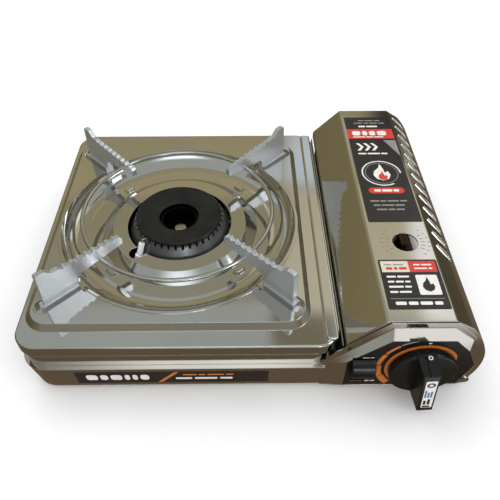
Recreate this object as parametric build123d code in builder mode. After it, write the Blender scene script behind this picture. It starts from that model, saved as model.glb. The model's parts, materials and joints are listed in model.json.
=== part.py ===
from build123d import *
import math
import os

# Butane cassette stove. Millimetres, +Z up, -Y is the front with the knob.
# The origin lies on the table, at the middle of the stove's outline.

# ---- driving dimensions ------------------------------------------------------------------

STOVE_W = 362.0  # left edge of the top plate to the widest point of the cover
PLATE_W = 250.0  # top plate, across
PLATE_D = 275.0  # top plate, front to back
KNOB_REACH = 28.0  # the knob stands this far in front of the plate's front edge
REAR_REACH = 1.0  # the lower wall stands this far behind the plate's back edge
FOOT_H = 5.0  # rubber feet
SHEET = 1.0  # pressed sheet

LEFT = -STOVE_W / 2
FRONT = KNOB_REACH - (KNOB_REACH + PLATE_D + REAR_REACH) / 2
BACK = FRONT + PLATE_D
PLATE_RIGHT = LEFT + PLATE_W

# heights, all above the underside of the body shell
SHOULDER_H = 28.0
FLANGE_H = 43.0
RIM_H = 53.0
PLATEAU_H = 57.7
TROUGH_H = 47.0
ANNULUS_H = 54.0
CHANNEL_H = 53.5
RING_H = 70.2
COVER_H = 83.0

# pan side
DISH_X = LEFT + 117.3
DISH_Y = FRONT + 135.7
DISH_R = 105.5
ARM_ANGLES = (45, 135, 225, 315)
RING_R = 84.3
RING_WIRE_R = 1.9

# cartridge bay
PARTITION_X = LEFT + 250.6
BAY_RIGHT = LEFT + 342.0
CARTRIDGE_X = LEFT + 306
CARTRIDGE_H = 42.0
CARTRIDGE_R = 34.5
HINGE_X = LEFT + 352
HINGE_H = 11.0
HINGE_PIN_R = 2.0
RUNNING_GAP = 0.05  # radial clearance of a shaft in its hole

# controls
KNOB_X = LEFT + 313
KNOB_H = 30.0
SPINDLE_R = 3.0
LEVER_X = LEFT + 267
LEVER_PIVOT_Y = FRONT + 16
LEVER_PIVOT_H = 14.0
LEVER_PIN_H = 28.0
LEVER_PIN_R = 1.5

os.makedirs("parts", exist_ok=True)


# ---- helpers -----------------------------------------------------------------------------


def level(height):
    """Horizontal plane at a height above the underside of the body shell."""
    return Plane.XY.offset(FOOT_H + height)


def upright(y):
    """Vertical plane across the stove: sketch x is X, sketch y is Z, extrusion goes forward."""
    return Plane.XZ.offset(-y)


def sideways(x):
    """Vertical plane from front to back: sketch x is Y, sketch y is Z, extrusion goes right."""
    return Plane.YZ.offset(x)


def disc(plane, x, y, radius, height, mode=Mode.ADD):
    with BuildSketch(plane) as outline:
        with Locations((x, y)):
            Circle(radius)
    extrude(outline.sketch, amount=height, mode=mode)


def block(plane, x0, x1, y0, y1, height, radius=0, mode=Mode.ADD):
    with BuildSketch(plane) as outline:
        with Locations(((x0 + x1) / 2, (y0 + y1) / 2)):
            if radius:
                RectangleRounded(x1 - x0, y1 - y0, radius)
            else:
                Rectangle(x1 - x0, y1 - y0)
    extrude(outline.sketch, amount=height, mode=mode)


def panel(plane, points, height, mode=Mode.ADD):
    with BuildSketch(plane) as outline:
        with BuildLine():
            Polyline(*points, close=True)
        make_face()
    extrude(outline.sketch, amount=height, mode=mode)


def rod(start, end, radius, mode=Mode.ADD):
    """Straight round bar between two points."""
    axis = Vector(*end) - Vector(*start)
    with BuildSketch(Plane(origin=start, z_dir=axis)) as outline:
        Circle(radius)
    extrude(outline.sketch, amount=axis.length, mode=mode)


def around_dish(distance, angle, height):
    """A point at a distance from the burner's axis, in plan direction angle."""
    turn = math.radians(angle)
    return (
        DISH_X + distance * math.cos(turn),
        DISH_Y + distance * math.sin(turn),
        FOOT_H + height,
    )


def save(builder, name):
    builder.part.label = name
    export_step(builder.part, f"parts/{name}.step")


# ---- body shell --------------------------------------------------------------------------

LOWER_FRONT = FRONT - 3  # the lower wall stands proud of the upper one
LOWER_BACK = BACK + REAR_REACH
UPPER_SETBACK = 1.0
LOWER_R = 20.0
DRAFT = 3.0  # the lower wall leans in by this much towards the floor
LOCATING_LIP = 4.0  # the upper wall goes on inside the top plate's skirt
FLANGE_T = 1.5
BAY_WALL_H = 12.0


def body_mass(inset):
    """The closed volume of the drawn tray, drawn in by the sheet."""
    left = LEFT + 0.5 + inset
    right = BAY_RIGHT - inset
    depth = LOWER_BACK - LOWER_FRONT - 2 * inset
    middle = (LOWER_FRONT + LOWER_BACK) / 2
    with BuildPart() as mass:
        with BuildSketch(level(inset)):
            with Locations(((left + DRAFT + right) / 2, middle)):
                RectangleRounded(right - left - DRAFT, depth - 2 * DRAFT, LOWER_R - inset)
        with BuildSketch(level(SHOULDER_H - inset)):
            with Locations(((left + right) / 2, middle)):
                RectangleRounded(right - left, depth, LOWER_R - inset)
        loft()
        block(
            level(SHOULDER_H - 2 * inset),
            left + 2,
            PLATE_RIGHT - 2 - inset,
            FRONT + UPPER_SETBACK + inset,
            BACK - UPPER_SETBACK - inset,
            FLANGE_H + LOCATING_LIP - SHOULDER_H + 4 * inset,
            radius=LOWER_R - 2 - inset,
        )
    return mass.part


ARCH_RIM = 1.0  # flat rim behind the bevel
ARCH_BEVEL = 3.0
ARCH_SHEET = 1.2
ARCH_LEFT = LEFT + 236
ARCH_RIGHT = LEFT + 357
ARCH_FACE = FRONT - ARCH_RIM - ARCH_BEVEL
OPENING_LEFT = LEFT + 255
OPENING_RIGHT = LEFT + 354


def arch_outline(y):
    """Outer outline of the control arch; its upper part runs just inside the cover."""
    with BuildSketch(upright(y)) as outline:
        with BuildLine():
            FilletPolyline(
                (ARCH_LEFT, FOOT_H),
                (ARCH_LEFT, FOOT_H + SHOULDER_H),
                (LEFT + 284, FOOT_H + 76.5),
                (LEFT + 328.5, FOOT_H + 76.5),
                (LEFT + 346, FOOT_H + 61),
                (ARCH_RIGHT, FOOT_H + 36),
                (ARCH_RIGHT - 1, FOOT_H),
                radius=3,
                close=True,
            )
        make_face()
    return outline.sketch


def opening_outline(y, grow=0):
    """Outline of the opening for the control panel."""
    with BuildSketch(upright(y)) as outline:
        with BuildLine():
            FilletPolyline(
                (OPENING_LEFT - grow, FOOT_H + 3 - grow),
                (OPENING_LEFT - grow, FOOT_H + 37),
                (LEFT + 285 - grow / 2, FOOT_H + 64.5 + grow),
                (LEFT + 332 + grow / 2, FOOT_H + 64 + grow),
                (LEFT + 345 + grow, FOOT_H + 50),
                (OPENING_RIGHT + grow, FOOT_H + 31),
                (OPENING_RIGHT - 8 + grow, FOOT_H + 3 - grow),
                radius=2,
                close=True,
            )
        make_face()
    return outline.sketch


def arch_bevel(shift):
    """Sloping border between the outer outline and the panel opening."""
    with BuildPart() as bevel:
        add(arch_outline(FRONT - ARCH_RIM + shift))
        add(opening_outline(ARCH_FACE + shift))
        loft(ruled=True)
    return bevel.part


VENT_W = 4.0
VENT_L = 38.0
VENT_PITCH = 14.0
VENT_COUNT = 9
FOOT_STEM_R = 3.0
FOOT_R = 9.0
FOOT_SPOTS = (
    (LEFT + 32, FRONT + 45),
    (LEFT + 32, BACK - 30),
    (LEFT + 330, FRONT + 45),
    (LEFT + 330, BACK - 30),
)

TRAY_OUTSIDE = body_mass(0)
TRAY_INSIDE = body_mass(SHEET)
BEVEL_OUTSIDE = arch_bevel(0)
BEVEL_INSIDE = arch_bevel(ARCH_SHEET)

with BuildPart() as body_shell:
    add(TRAY_OUTSIDE)
    # flange under the skirt of the top plate
    block(level(FLANGE_H - FLANGE_T), LEFT, PLATE_RIGHT, FRONT, BACK, FLANGE_T, radius=LOWER_R)
    add(TRAY_INSIDE, mode=Mode.SUBTRACT)
    # low wall round the cartridge bay
    block(
        level(BAY_WALL_H),
        PLATE_RIGHT,
        BAY_RIGHT + 2,
        LOWER_FRONT - 1,
        LOWER_BACK + 1,
        SHOULDER_H,
        mode=Mode.SUBTRACT,
    )
    # gap in the wall behind the partition, for the mixing tube
    block(
        level(SHEET + 1),
        PLATE_RIGHT - 8,
        PLATE_RIGHT + 1,
        FRONT + 22,
        BACK - 22,
        FLANGE_H - FLANGE_T - SHEET - 1,
        mode=Mode.SUBTRACT,
    )
    # control arch
    block(
        level(SHEET),
        ARCH_LEFT + 3,
        BAY_RIGHT + 2,
        LOWER_FRONT - 1,
        FRONT + 1,
        SHOULDER_H + 1,
        mode=Mode.SUBTRACT,
    )
    block(level(0), ARCH_LEFT + 1, BAY_RIGHT - 4, FRONT - 1, FRONT + 4, SHEET)
    extrude(arch_outline(FRONT), amount=ARCH_RIM)
    add(BEVEL_OUTSIDE)
    add(BEVEL_INSIDE, mode=Mode.SUBTRACT)
    extrude(opening_outline(FRONT + 1), amount=8, mode=Mode.SUBTRACT)
    disc(upright(FRONT + 1), HINGE_X, FOOT_H + HINGE_H, HINGE_PIN_R, 8, mode=Mode.SUBTRACT)
    # air slots and foot holes in the floor
    with BuildSketch(level(-1)):
        with Locations((DISH_X, DISH_Y)):
            with GridLocations(VENT_L + 20, VENT_PITCH, 2, VENT_COUNT):
                SlotOverall(VENT_L, VENT_W)
        with Locations(*FOOT_SPOTS):
            Circle(FOOT_STEM_R)
    extrude(amount=SHEET + 2, mode=Mode.SUBTRACT)
save(body_shell, "body_shell")

# ---- top plate ---------------------------------------------------------------------------

PLATE_R = 18.0
BORDER_LEFT = 4.0
BORDER_FRONT = 15.0
BORDER_BACK = 16.5
BORDER_RIGHT = 21.0
PLATEAU_SLOPE = 4.5
PLATEAU_R = 20.0
BEAD_LEFT = 238.0  # raised bead along the right edge
BEAD_H = 3.0
DISH_HOLE_R = 47.3
ANNULUS_R = 60.3
TROUGH_IN_R = 71.0
TROUGH_OUT_R = 84.0
CHANNEL_W = 14.0
CHANNEL_END = 148.0
SCOOP_W = 20.0
SCOOP_IN = 80.0
SCOOP_OUT = 99.0
BUMP_R = 77.0
BUMP_L = 13.0
BUMP_W = 8.0
BUMP_H = 2.6
NOTCH_R = 7.0
NOTCH_DISTANCE = 51.5
NOTCH_ANGLE = 228.5
DISH_RIM_H = 0.8  # rolled edge round the dish


def dish_cavity(inset):
    """Everything above the sheet inside the dish."""
    with BuildPart() as cavity:
        with BuildSketch(Plane.XZ):
            with BuildLine():
                axis = Line((0, PLATEAU_H + 20), (0, ANNULUS_H - inset))
                shelf = Line(axis @ 1, (ANNULUS_R - inset / 2, ANNULUS_H - inset))
                wall = Line(shelf @ 1, (TROUGH_IN_R - inset / 2, TROUGH_H - inset))
                trough = Line(wall @ 1, (TROUGH_OUT_R, TROUGH_H - inset))
                bowl = ThreePointArc(
                    trough @ 1,
                    (TROUGH_OUT_R + 15 + inset / 2, TROUGH_H + 3.6 - inset / 2),
                    (DISH_R + inset, PLATEAU_H + DISH_RIM_H - inset / 2),
                )
                side = Line(bowl @ 1, (DISH_R + inset, PLATEAU_H + 20))
                Line(side @ 1, axis @ 0)
            make_face()
        revolve(axis=Axis.Z)
    return cavity.part.moved(Location((DISH_X, DISH_Y, FOOT_H)))


def dish_detail(angle, inset):
    """Channel and scoop to cut, bump to add, for one corner of the dish."""
    plan = Plane(origin=(DISH_X, DISH_Y, FOOT_H), x_dir=(math.cos(angle), math.sin(angle), 0))
    half = CHANNEL_W / 2
    with BuildPart() as cut:
        with BuildSketch(plan.offset(CHANNEL_H - inset)):
            with BuildLine():
                Polyline((ANNULUS_R + 25, half + inset), (CHANNEL_END - half, half + inset))
                Polyline((ANNULUS_R + 25, -half - inset), (CHANNEL_END - half, -half - inset))
                Line((ANNULUS_R + 25, half + inset), (ANNULUS_R + 25, -half - inset))
                ThreePointArc(
                    (CHANNEL_END - half, half + inset),
                    (CHANNEL_END + inset, 0),
                    (CHANNEL_END - half, -half - inset),
                )
            make_face()
        extrude(amount=20)
        with BuildSketch(plan.offset(TROUGH_H + 1.2 - inset)):
            with Locations(((SCOOP_IN + SCOOP_OUT) / 2, 0)):
                RectangleRounded(SCOOP_OUT - SCOOP_IN + 2 * inset, SCOOP_W + 2 * inset, 5 + inset)
        extrude(amount=20)
    with BuildPart() as bump:
        with BuildSketch(plan.offset(TROUGH_H - 3)):
            with Locations((BUMP_R, 0)):
                SlotOverall(BUMP_L + 4 - 2 * inset, BUMP_W + 4 - 2 * inset, rotation=90)
        with BuildSketch(plan.offset(TROUGH_H + BUMP_H - inset)):
            with Locations((BUMP_R, 0)):
                SlotOverall(BUMP_L - 4 - inset, BUMP_W - 4 - inset, rotation=90)
        loft()
    return cut.part, bump.part


def plate_mass(inset):
    """The closed volume under the top plate's upper face, drawn in by the sheet."""
    cavity = dish_cavity(inset)
    details = [dish_detail(math.radians(angle), inset) for angle in ARM_ANGLES]
    x0 = LEFT + inset
    x1 = PLATE_RIGHT - inset
    y0 = FRONT + inset
    y1 = BACK - inset
    slope = PLATEAU_SLOPE
    with BuildPart() as mass:
        block(level(FLANGE_H - inset), x0, x1, y0, y1, RIM_H - FLANGE_H, radius=PLATE_R - inset)
        if inset == 0:
            rim = mass.faces().sort_by(Axis.Z)[-1].edges()
            fillet(rim, radius=1.6)
        base_x = (x0 + BORDER_LEFT, x1 - BORDER_RIGHT)
        base_y = (y0 + BORDER_FRONT, y1 - BORDER_BACK)
        with BuildSketch(level(RIM_H - inset)):
            with Locations((sum(base_x) / 2, sum(base_y) / 2)):
                RectangleRounded(base_x[1] - base_x[0], base_y[1] - base_y[0], PLATEAU_R)
        with BuildSketch(level(PLATEAU_H - inset)):
            with Locations((sum(base_x) / 2, sum(base_y) / 2)):
                RectangleRounded(
                    base_x[1] - base_x[0] - 2 * slope,
                    base_y[1] - base_y[0] - 2 * slope,
                    PLATEAU_R - slope,
                )
        loft()
        block(
            level(RIM_H - 2 * inset - 1),
            LEFT + BEAD_LEFT + inset,
            x1 - 2.2,
            FRONT + 5 + inset,
            BACK - 5 - inset,
            BEAD_H + inset + 1,
            radius=3 - inset,
        )
        if inset == 0:
            bead = mass.faces().filter_by(lambda f: f.center().X > LEFT + BEAD_LEFT).sort_by(Axis.Z)[-1]
            fillet(bead.edges(), radius=1.5)
            # rolled edge round the dish
            disc(level(PLATEAU_H), DISH_X, DISH_Y, DISH_R + 2.5, DISH_RIM_H)
        add(cavity, mode=Mode.SUBTRACT)
        for cut, bump in details:
            add(cut, mode=Mode.SUBTRACT)
        for cut, bump in details:
            add(bump)
    return mass.part


PLATE_OUTSIDE = plate_mass(0)
PLATE_INSIDE = plate_mass(SHEET)

with BuildPart() as top_plate:
    add(PLATE_OUTSIDE)
    add(PLATE_INSIDE, mode=Mode.SUBTRACT)
    disc(level(0), DISH_X, DISH_Y, DISH_HOLE_R, PLATEAU_H + 10, mode=Mode.SUBTRACT)
    notch = around_dish(NOTCH_DISTANCE, NOTCH_ANGLE, 0)
    disc(level(0), notch[0], notch[1], NOTCH_R, PLATEAU_H + 10, mode=Mode.SUBTRACT)
save(top_plate, "top_plate")

# ---- pan support -------------------------------------------------------------------------

ARM_T = 4.4
FOOT_PAD_T = 8.0
FOOT_PAD_H = 6.0
FOOT_IN = 108.5
FOOT_OUT = 141.5
HORN_OUT = 138.3
HORN_IN = 131.0
HORN_H = 92.2
DIP = 125.0
DIP_H = 86.4
TOOTH_PITCH = 6.6
TOOTH_DEPTH = 1.8
TOOTH_COUNT = 8
FIRST_TOOTH = 114.5
FIRST_TOOTH_H = 85.8
TOOTH_FALL = 0.45  # each tooth is this much lower than the one outside it
ARM_TIP = 62.0
ARM_TIP_TOP_H = 81.5
ARM_TIP_LOW_H = 73.0
ARM_HEEL_H = 69.0  # underside of the arm where it meets the foot
SEAT_GAP = 0.02


def arm_side():
    """Side outline of an arm, from the tip round the foot and horn, back along the teeth."""
    points = [
        (ARM_TIP + 1, FOOT_H + ARM_TIP_LOW_H),
        (FOOT_IN - 4, FOOT_H + ARM_HEEL_H),
        (FOOT_IN - 1.5, FOOT_H + ARM_HEEL_H - 3),
        (FOOT_IN, FOOT_H + CHANNEL_H),
        (FOOT_OUT, FOOT_H + CHANNEL_H),
        (HORN_OUT + 1, FOOT_H + CHANNEL_H + FOOT_PAD_H),
        (HORN_OUT, FOOT_H + HORN_H - 1),
        (HORN_OUT - 1, FOOT_H + HORN_H),
        (HORN_IN, FOOT_H + HORN_H),
        (DIP, FOOT_H + DIP_H),
        (FIRST_TOOTH + 5, FOOT_H + DIP_H),
    ]
    for tooth in range(TOOTH_COUNT):
        s = FIRST_TOOTH - tooth * TOOTH_PITCH
        top = FOOT_H + FIRST_TOOTH_H - tooth * TOOTH_FALL
        points.append((s + 1.8, top - TOOTH_DEPTH))
        points.append((s + 0.8, top))
        points.append((s - 0.8, top))
        points.append((s - 3, top - TOOTH_DEPTH))
    points.append((ARM_TIP + 2, FOOT_H + ARM_TIP_TOP_H))
    points.append((ARM_TIP, FOOT_H + ARM_TIP_TOP_H - 2))
    points.append((ARM_TIP, FOOT_H + ARM_TIP_LOW_H + 1))
    return points


def arm_plane(angle, side):
    """Vertical plane through the dish's axis; sketch x is the distance from that axis."""
    turn = math.radians(angle)
    across = (math.sin(turn), -math.cos(turn))
    return Plane(
        origin=(DISH_X - across[0] * side, DISH_Y - across[1] * side, 0),
        x_dir=(math.cos(turn), math.sin(turn), 0),
        z_dir=(across[0], across[1], 0),
    )


ARM_NAMES = ("pan_arm_back_right", "pan_arm_back_left", "pan_arm_front_left", "pan_arm_front_right")
for angle, name in zip(ARM_ANGLES, ARM_NAMES):
    with BuildPart() as pan_arm:
        panel(arm_plane(angle, ARM_T / 2), arm_side(), ARM_T)
        # thick foot that stands in the channel
        block(
            arm_plane(angle, FOOT_PAD_T / 2),
            FOOT_IN,
            FOOT_OUT,
            FOOT_H + CHANNEL_H,
            FOOT_H + CHANNEL_H + FOOT_PAD_H,
            FOOT_PAD_T,
        )
        # fine grooves over the horn
        for step in range(4):
            edge = HORN_IN + 1.2 + step * 1.6
            disc(
                arm_plane(angle, ARM_T / 2 + 1),
                edge,
                FOOT_H + HORN_H + 0.35,
                0.7,
                ARM_T + 2,
                mode=Mode.SUBTRACT,
            )
        # half-round seat for the ring
        with BuildSketch(arm_plane(angle, 0)):
            with Locations((RING_R, FOOT_H + RING_H)):
                Circle(RING_WIRE_R + SEAT_GAP)
        revolve(axis=Axis((DISH_X, DISH_Y, 0), (0, 0, 1)), revolution_arc=360, mode=Mode.SUBTRACT)
    save(pan_arm, name)

with BuildPart() as support_ring:
    with BuildSketch(arm_plane(0, 0)):
        with Locations((RING_R, FOOT_H + RING_H)):
            Circle(RING_WIRE_R)
    revolve(axis=Axis((DISH_X, DISH_Y, 0), (0, 0, 1)), revolution_arc=360)
save(support_ring, "support_ring")

# ---- burner ------------------------------------------------------------------------------

FEED_ANGLE = -29.02  # plan direction from the burner to the gas valve
BURNER_FOOT_R = 45.0
BURNER_FOOT_H = 50.5
BURNER_TOP_R = 39.6
BURNER_TOP_H = 60.5
BURNER_WALL = 3.0
BOSS_DISTANCE = 28.0
BOSS_R = 15.0
BOSS_LOW_H = 14.0
PORT_R = 1.1
PORT_COUNT = 40
CAP_R = 38.4
CAP_T = 2.6
CAP_HOLE_R = 17.7
CAP_RIM_H = 64.4
CAP_LIP_H = 60.0
MIXER_H = 27.0
MIXER_START = 138.0
MIXER_THROAT = 120.0
MIXER_END = 34.0
MIXER_MOUTH_R = 13.0
MIXER_THROAT_R = 8.0
MIXER_END_R = 11.5
MIXER_T = 1.0

BURNER_AXIS = Axis((DISH_X, DISH_Y, 0), (0, 0, 1))
BURNER_SIDE = arm_plane(0, 0)


def turned(points):
    """Solid of revolution round the burner's axis; points are distance and height."""
    with BuildSketch(BURNER_SIDE) as outline:
        with BuildLine():
            Polyline(*[(r, FOOT_H + z) for r, z in points], close=True)
        make_face()
    revolve(outline.sketch, axis=BURNER_AXIS, revolution_arc=360)


with BuildPart() as burner_body:
    turned(
        (
            (0, 40),
            (BURNER_FOOT_R - 6, 40),
            (BURNER_FOOT_R, BURNER_FOOT_H - 5),
            (BURNER_FOOT_R, BURNER_FOOT_H),
            (BURNER_TOP_R, BURNER_TOP_H),
            (BURNER_TOP_R, BURNER_TOP_H + 1.2),
            (BURNER_TOP_R - BURNER_WALL, BURNER_TOP_H + 1.2),
            (BURNER_TOP_R - BURNER_WALL, BURNER_FOOT_H),
            (BURNER_FOOT_R - 10, 44),
            (21, 44),
            (19, BURNER_TOP_H - 2.5),
            (15, BURNER_TOP_H - 2.5),
            (13, 44),
            (0, 44),
        )
    )
    boss = around_dish(BOSS_DISTANCE, FEED_ANGLE, 0)
    disc(level(BOSS_LOW_H), boss[0], boss[1], BOSS_R, 42 - BOSS_LOW_H)
    disc(level(BOSS_LOW_H + 3), boss[0], boss[1], BOSS_R - 3, 32, mode=Mode.SUBTRACT)
    rod(
        around_dish(BOSS_DISTANCE, FEED_ANGLE, MIXER_H),
        around_dish(BOSS_DISTANCE + BOSS_R + 2, FEED_ANGLE, MIXER_H),
        MIXER_END_R,
        mode=Mode.SUBTRACT,
    )
    # ring of gas ports through the skirt
    with BuildSketch(level(BURNER_TOP_H - 2)):
        with Locations((DISH_X, DISH_Y)):
            with PolarLocations(BURNER_TOP_R - 1, PORT_COUNT):
                RectangleRounded(5, 2 * PORT_R, PORT_R - 0.1)
    extrude(amount=4, mode=Mode.SUBTRACT)
    # threaded hole of the middle screw
    disc(level(40), DISH_X, DISH_Y, 2.5, 10, mode=Mode.SUBTRACT)
save(burner_body, "burner_body")

with BuildPart() as burner_cap:
    turned(
        (
            (CAP_HOLE_R, CAP_LIP_H),
            (CAP_HOLE_R + 4, CAP_LIP_H),
            (CAP_HOLE_R + 8, CAP_RIM_H - CAP_T - 0.1),
            (CAP_R, CAP_RIM_H - CAP_T - 0.1),
            (CAP_R, CAP_RIM_H - 0.6),
            (CAP_R - 0.8, CAP_RIM_H),
            (CAP_R - 7, CAP_RIM_H),
            (CAP_HOLE_R + 7, CAP_RIM_H - 1.4),
            (CAP_HOLE_R + 1, CAP_LIP_H + 1.6),
            (CAP_HOLE_R, CAP_LIP_H + 1),
        )
    )
save(burner_cap, "burner_cap")

with BuildPart() as burner_screw:
    disc(level(34), DISH_X, DISH_Y, 2.5, 10)
    disc(level(44), DISH_X, DISH_Y, 5, 3.2)
    block(level(46.2), DISH_X - 4, DISH_X + 4, DISH_Y - 0.6, DISH_Y + 0.6, 2, mode=Mode.SUBTRACT)
save(burner_screw, "burner_screw")

with BuildPart() as burner_bracket:
    block(level(39), DISH_X - 22, DISH_X + 8, DISH_Y - 9, DISH_Y + 9, 1)
    block(level(2), DISH_X - 22, DISH_X - 21, DISH_Y - 9, DISH_Y + 9, 38)
    block(level(1), DISH_X - 40, DISH_X - 21, DISH_Y - 9, DISH_Y + 9, 1)
    disc(level(38), DISH_X, DISH_Y, 2.5, 4, mode=Mode.SUBTRACT)
save(burner_bracket, "burner_bracket")


def mixer_outline(grow):
    """Half section of the venturi, as distance along the feed line and radius."""
    return (
        (MIXER_END, 0),
        (MIXER_END, MIXER_END_R + grow),
        (MIXER_THROAT - 30, MIXER_THROAT_R + 1.5 + grow),
        (MIXER_THROAT, MIXER_THROAT_R + grow),
        (MIXER_START, MIXER_MOUTH_R + grow),
        (MIXER_START, 0),
    )


def mixer_mass(grow):
    with BuildPart() as mass:
        with BuildSketch(arm_plane(FEED_ANGLE, 0)):
            with BuildLine():
                Polyline(*[(s, FOOT_H + MIXER_H + r) for s, r in mixer_outline(grow)], close=True)
            make_face()
        revolve(
            axis=Axis(
                around_dish(0, FEED_ANGLE, MIXER_H),
                Vector(*around_dish(1, FEED_ANGLE, 0)) - Vector(*around_dish(0, FEED_ANGLE, 0)),
            ),
            revolution_arc=360,
        )
    return mass.part


MIXER_OUTSIDE = mixer_mass(0)
MIXER_INSIDE = mixer_mass(-MIXER_T)
with BuildPart() as mixing_tube:
    add(MIXER_OUTSIDE)
    add(MIXER_INSIDE, mode=Mode.SUBTRACT)
save(mixing_tube, "mixing_tube")

with BuildPart() as tube_saddle:
    seat = around_dish(92, FEED_ANGLE, 0)
    saddle_plane = Plane(
        origin=(seat[0], seat[1], FOOT_H),
        x_dir=(-math.sin(math.radians(FEED_ANGLE)), math.cos(math.radians(FEED_ANGLE)), 0),
        z_dir=(math.cos(math.radians(FEED_ANGLE)), math.sin(math.radians(FEED_ANGLE)), 0),
    )
    block(saddle_plane, -14, 14, SHEET, SHEET + 2, 10)
    block(saddle_plane, -9, 9, SHEET + 2, MIXER_H - 3, 10)
    add(MIXER_OUTSIDE, mode=Mode.SUBTRACT)
save(tube_saddle, "tube_saddle")

# ---- igniter electrode -------------------------------------------------------------------

ELECTRODE_LOW = (LEFT + 79, FRONT + 92, FOOT_H + 30)
ELECTRODE_TOP = (LEFT + 88, FRONT + 103, FOOT_H + 62)
CERAMIC_R = 2.6
WIRE_R = 0.8


def along_electrode(share):
    return tuple(a + (b - a) * share for a, b in zip(ELECTRODE_LOW, ELECTRODE_TOP))


with BuildPart() as electrode_insulator:
    rod(along_electrode(0), along_electrode(0.95), CERAMIC_R)
    rod(along_electrode(0.3), along_electrode(0.62), CERAMIC_R + 1.2)
    rod(along_electrode(-0.1), along_electrode(1.1), WIRE_R, mode=Mode.SUBTRACT)
save(electrode_insulator, "electrode_insulator")

with BuildPart() as electrode_wire:
    rod(along_electrode(-0.12), along_electrode(1.04), WIRE_R)
    tip = along_electrode(1.04)
    with Locations(tip):
        Sphere(WIRE_R)
    rod(tip, (tip[0] + 2.6, tip[1] + 2.6, tip[2] - 1), WIRE_R)
save(electrode_wire, "electrode_wire")

with BuildPart() as electrode_clip:
    low = along_electrode(0.2)
    block(Plane.XY.offset(low[2] - 0.8), low[0] - 12, low[0] + 7, low[1] - 6, low[1] + 6, 1.6)
    block(level(2), low[0] - 12, low[0] - 10.8, low[1] - 6, low[1] + 6, low[2] - FOOT_H - 2)
    block(level(SHEET), low[0] - 22, low[0] - 10.8, low[1] - 6, low[1] + 6, 1)
    rod(along_electrode(0), along_electrode(0.5), CERAMIC_R, mode=Mode.SUBTRACT)
save(electrode_clip, "electrode_clip")

# ---- cartridge cover ---------------------------------------------------------------------

COVER_LEFT = LEFT + 252.5
COVER_RIDGE = LEFT + 278
COVER_SHOULDER = LEFT + 328
COVER_LIP_H = 51.0
COVER_RIGHT = LEFT + STOVE_W
COVER_FRONT = FRONT + 0.3
COVER_BACK = BACK - 0.2
END_FLANGE = 5.0
EAR_R = 5.5
WINDOW_X = LEFT + 307
WINDOW_Y = FRONT + 79.4
WINDOW_R = 10.25
FLUTE_COUNT = 13
FLUTE_FIRST = FRONT + 74.0
FLUTE_PITCH = 15.6
FLUTE_R = 3.0
FLUTE_SLANT = 4.0
SIDE_GROOVE_R = 1.6


def cover_outline(y, inset):
    with BuildSketch(upright(y)) as outline:
        with BuildLine():
            low = Line((COVER_LEFT, FOOT_H - 30), (COVER_LEFT, FOOT_H + 57))
            left = Line(low @ 1, (COVER_RIDGE, FOOT_H + COVER_H))
            top = Line(left @ 1, (COVER_SHOULDER, FOOT_H + COVER_H))
            facet = Line(top @ 1, (LEFT + 341.5, FOOT_H + 74.5))
            shoulder = ThreePointArc(facet @ 1, (LEFT + 352.6, FOOT_H + 60), (COVER_RIGHT - 1.6, FOOT_H + 42))
            side = ThreePointArc(shoulder @ 1, (COVER_RIGHT, FOOT_H + 31), (COVER_RIGHT - 4, FOOT_H + 8))
            toe = Line(side @ 1, (COVER_RIGHT - 8, FOOT_H - 30))
            Line(toe @ 1, low @ 0)
        make_face()
        fillet(outline.vertices().sort_by(Axis.Y)[-4:], radius=3)
        if inset:
            offset(amount=-inset, kind=Kind.INTERSECTION, mode=Mode.REPLACE)
    return outline.sketch


def cover_flute(y, radius):
    """Capsule that slants down the right-hand facet of the cover."""
    top = (LEFT + 334.7, y + FLUTE_SLANT, FOOT_H + 80.3)
    low = (LEFT + 344.6, y - FLUTE_SLANT, FOOT_H + 72.6)
    rod(top, low, radius, mode=Mode.SUBTRACT)
    with Locations(top, low):
        Sphere(radius, mode=Mode.SUBTRACT)


def cover_mass(inset):
    with BuildPart() as mass:
        outline = cover_outline(COVER_BACK - inset, inset)
        extrude(outline, amount=COVER_BACK - COVER_FRONT - 2 * inset)
        for step in range(FLUTE_COUNT):
            cover_flute(FLUTE_FIRST + step * FLUTE_PITCH, FLUTE_R + inset)
    return mass.part


def cover_core():
    with BuildPart() as core:
        extrude(cover_outline(COVER_BACK + 1, END_FLANGE + SHEET), amount=COVER_BACK - COVER_FRONT + 2)
    return core.part


COVER_OUTSIDE = cover_mass(0)
COVER_INSIDE = cover_mass(SHEET)
COVER_CORE = cover_core()

with BuildPart() as cartridge_cover:
    add(COVER_OUTSIDE)
    add(COVER_INSIDE, mode=Mode.SUBTRACT)
    add(COVER_CORE, mode=Mode.SUBTRACT)
    # open underside, between the left lip and the hinge
    panel(
        upright(COVER_BACK + 2),
        (
            (COVER_LEFT - 10, FOOT_H + COVER_LIP_H),
            (COVER_LEFT + 9, FOOT_H + COVER_LIP_H),
            (HINGE_X - 8, FOOT_H + 5),
            (COVER_RIGHT + 10, FOOT_H + 5),
            (COVER_RIGHT + 10, FOOT_H - 40),
            (COVER_LEFT - 10, FOOT_H - 40),
        ),
        PLATE_D + 5,
        mode=Mode.SUBTRACT,
    )
    # hinge ears
    for y in (COVER_BACK, COVER_FRONT + SHEET):
        disc(upright(y), HINGE_X, FOOT_H + HINGE_H, EAR_R, SHEET)
        block(upright(y), HINGE_X, COVER_RIGHT - 5, FOOT_H + HINGE_H - 4, FOOT_H + HINGE_H + EAR_R, SHEET)
    disc(
        upright(COVER_BACK + 2),
        HINGE_X,
        FOOT_H + HINGE_H,
        HINGE_PIN_R + RUNNING_GAP,
        PLATE_D + 5,
        mode=Mode.SUBTRACT,
    )
    disc(level(60), WINDOW_X, WINDOW_Y, WINDOW_R, 40, mode=Mode.SUBTRACT)
save(cartridge_cover, "cartridge_cover")

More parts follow.
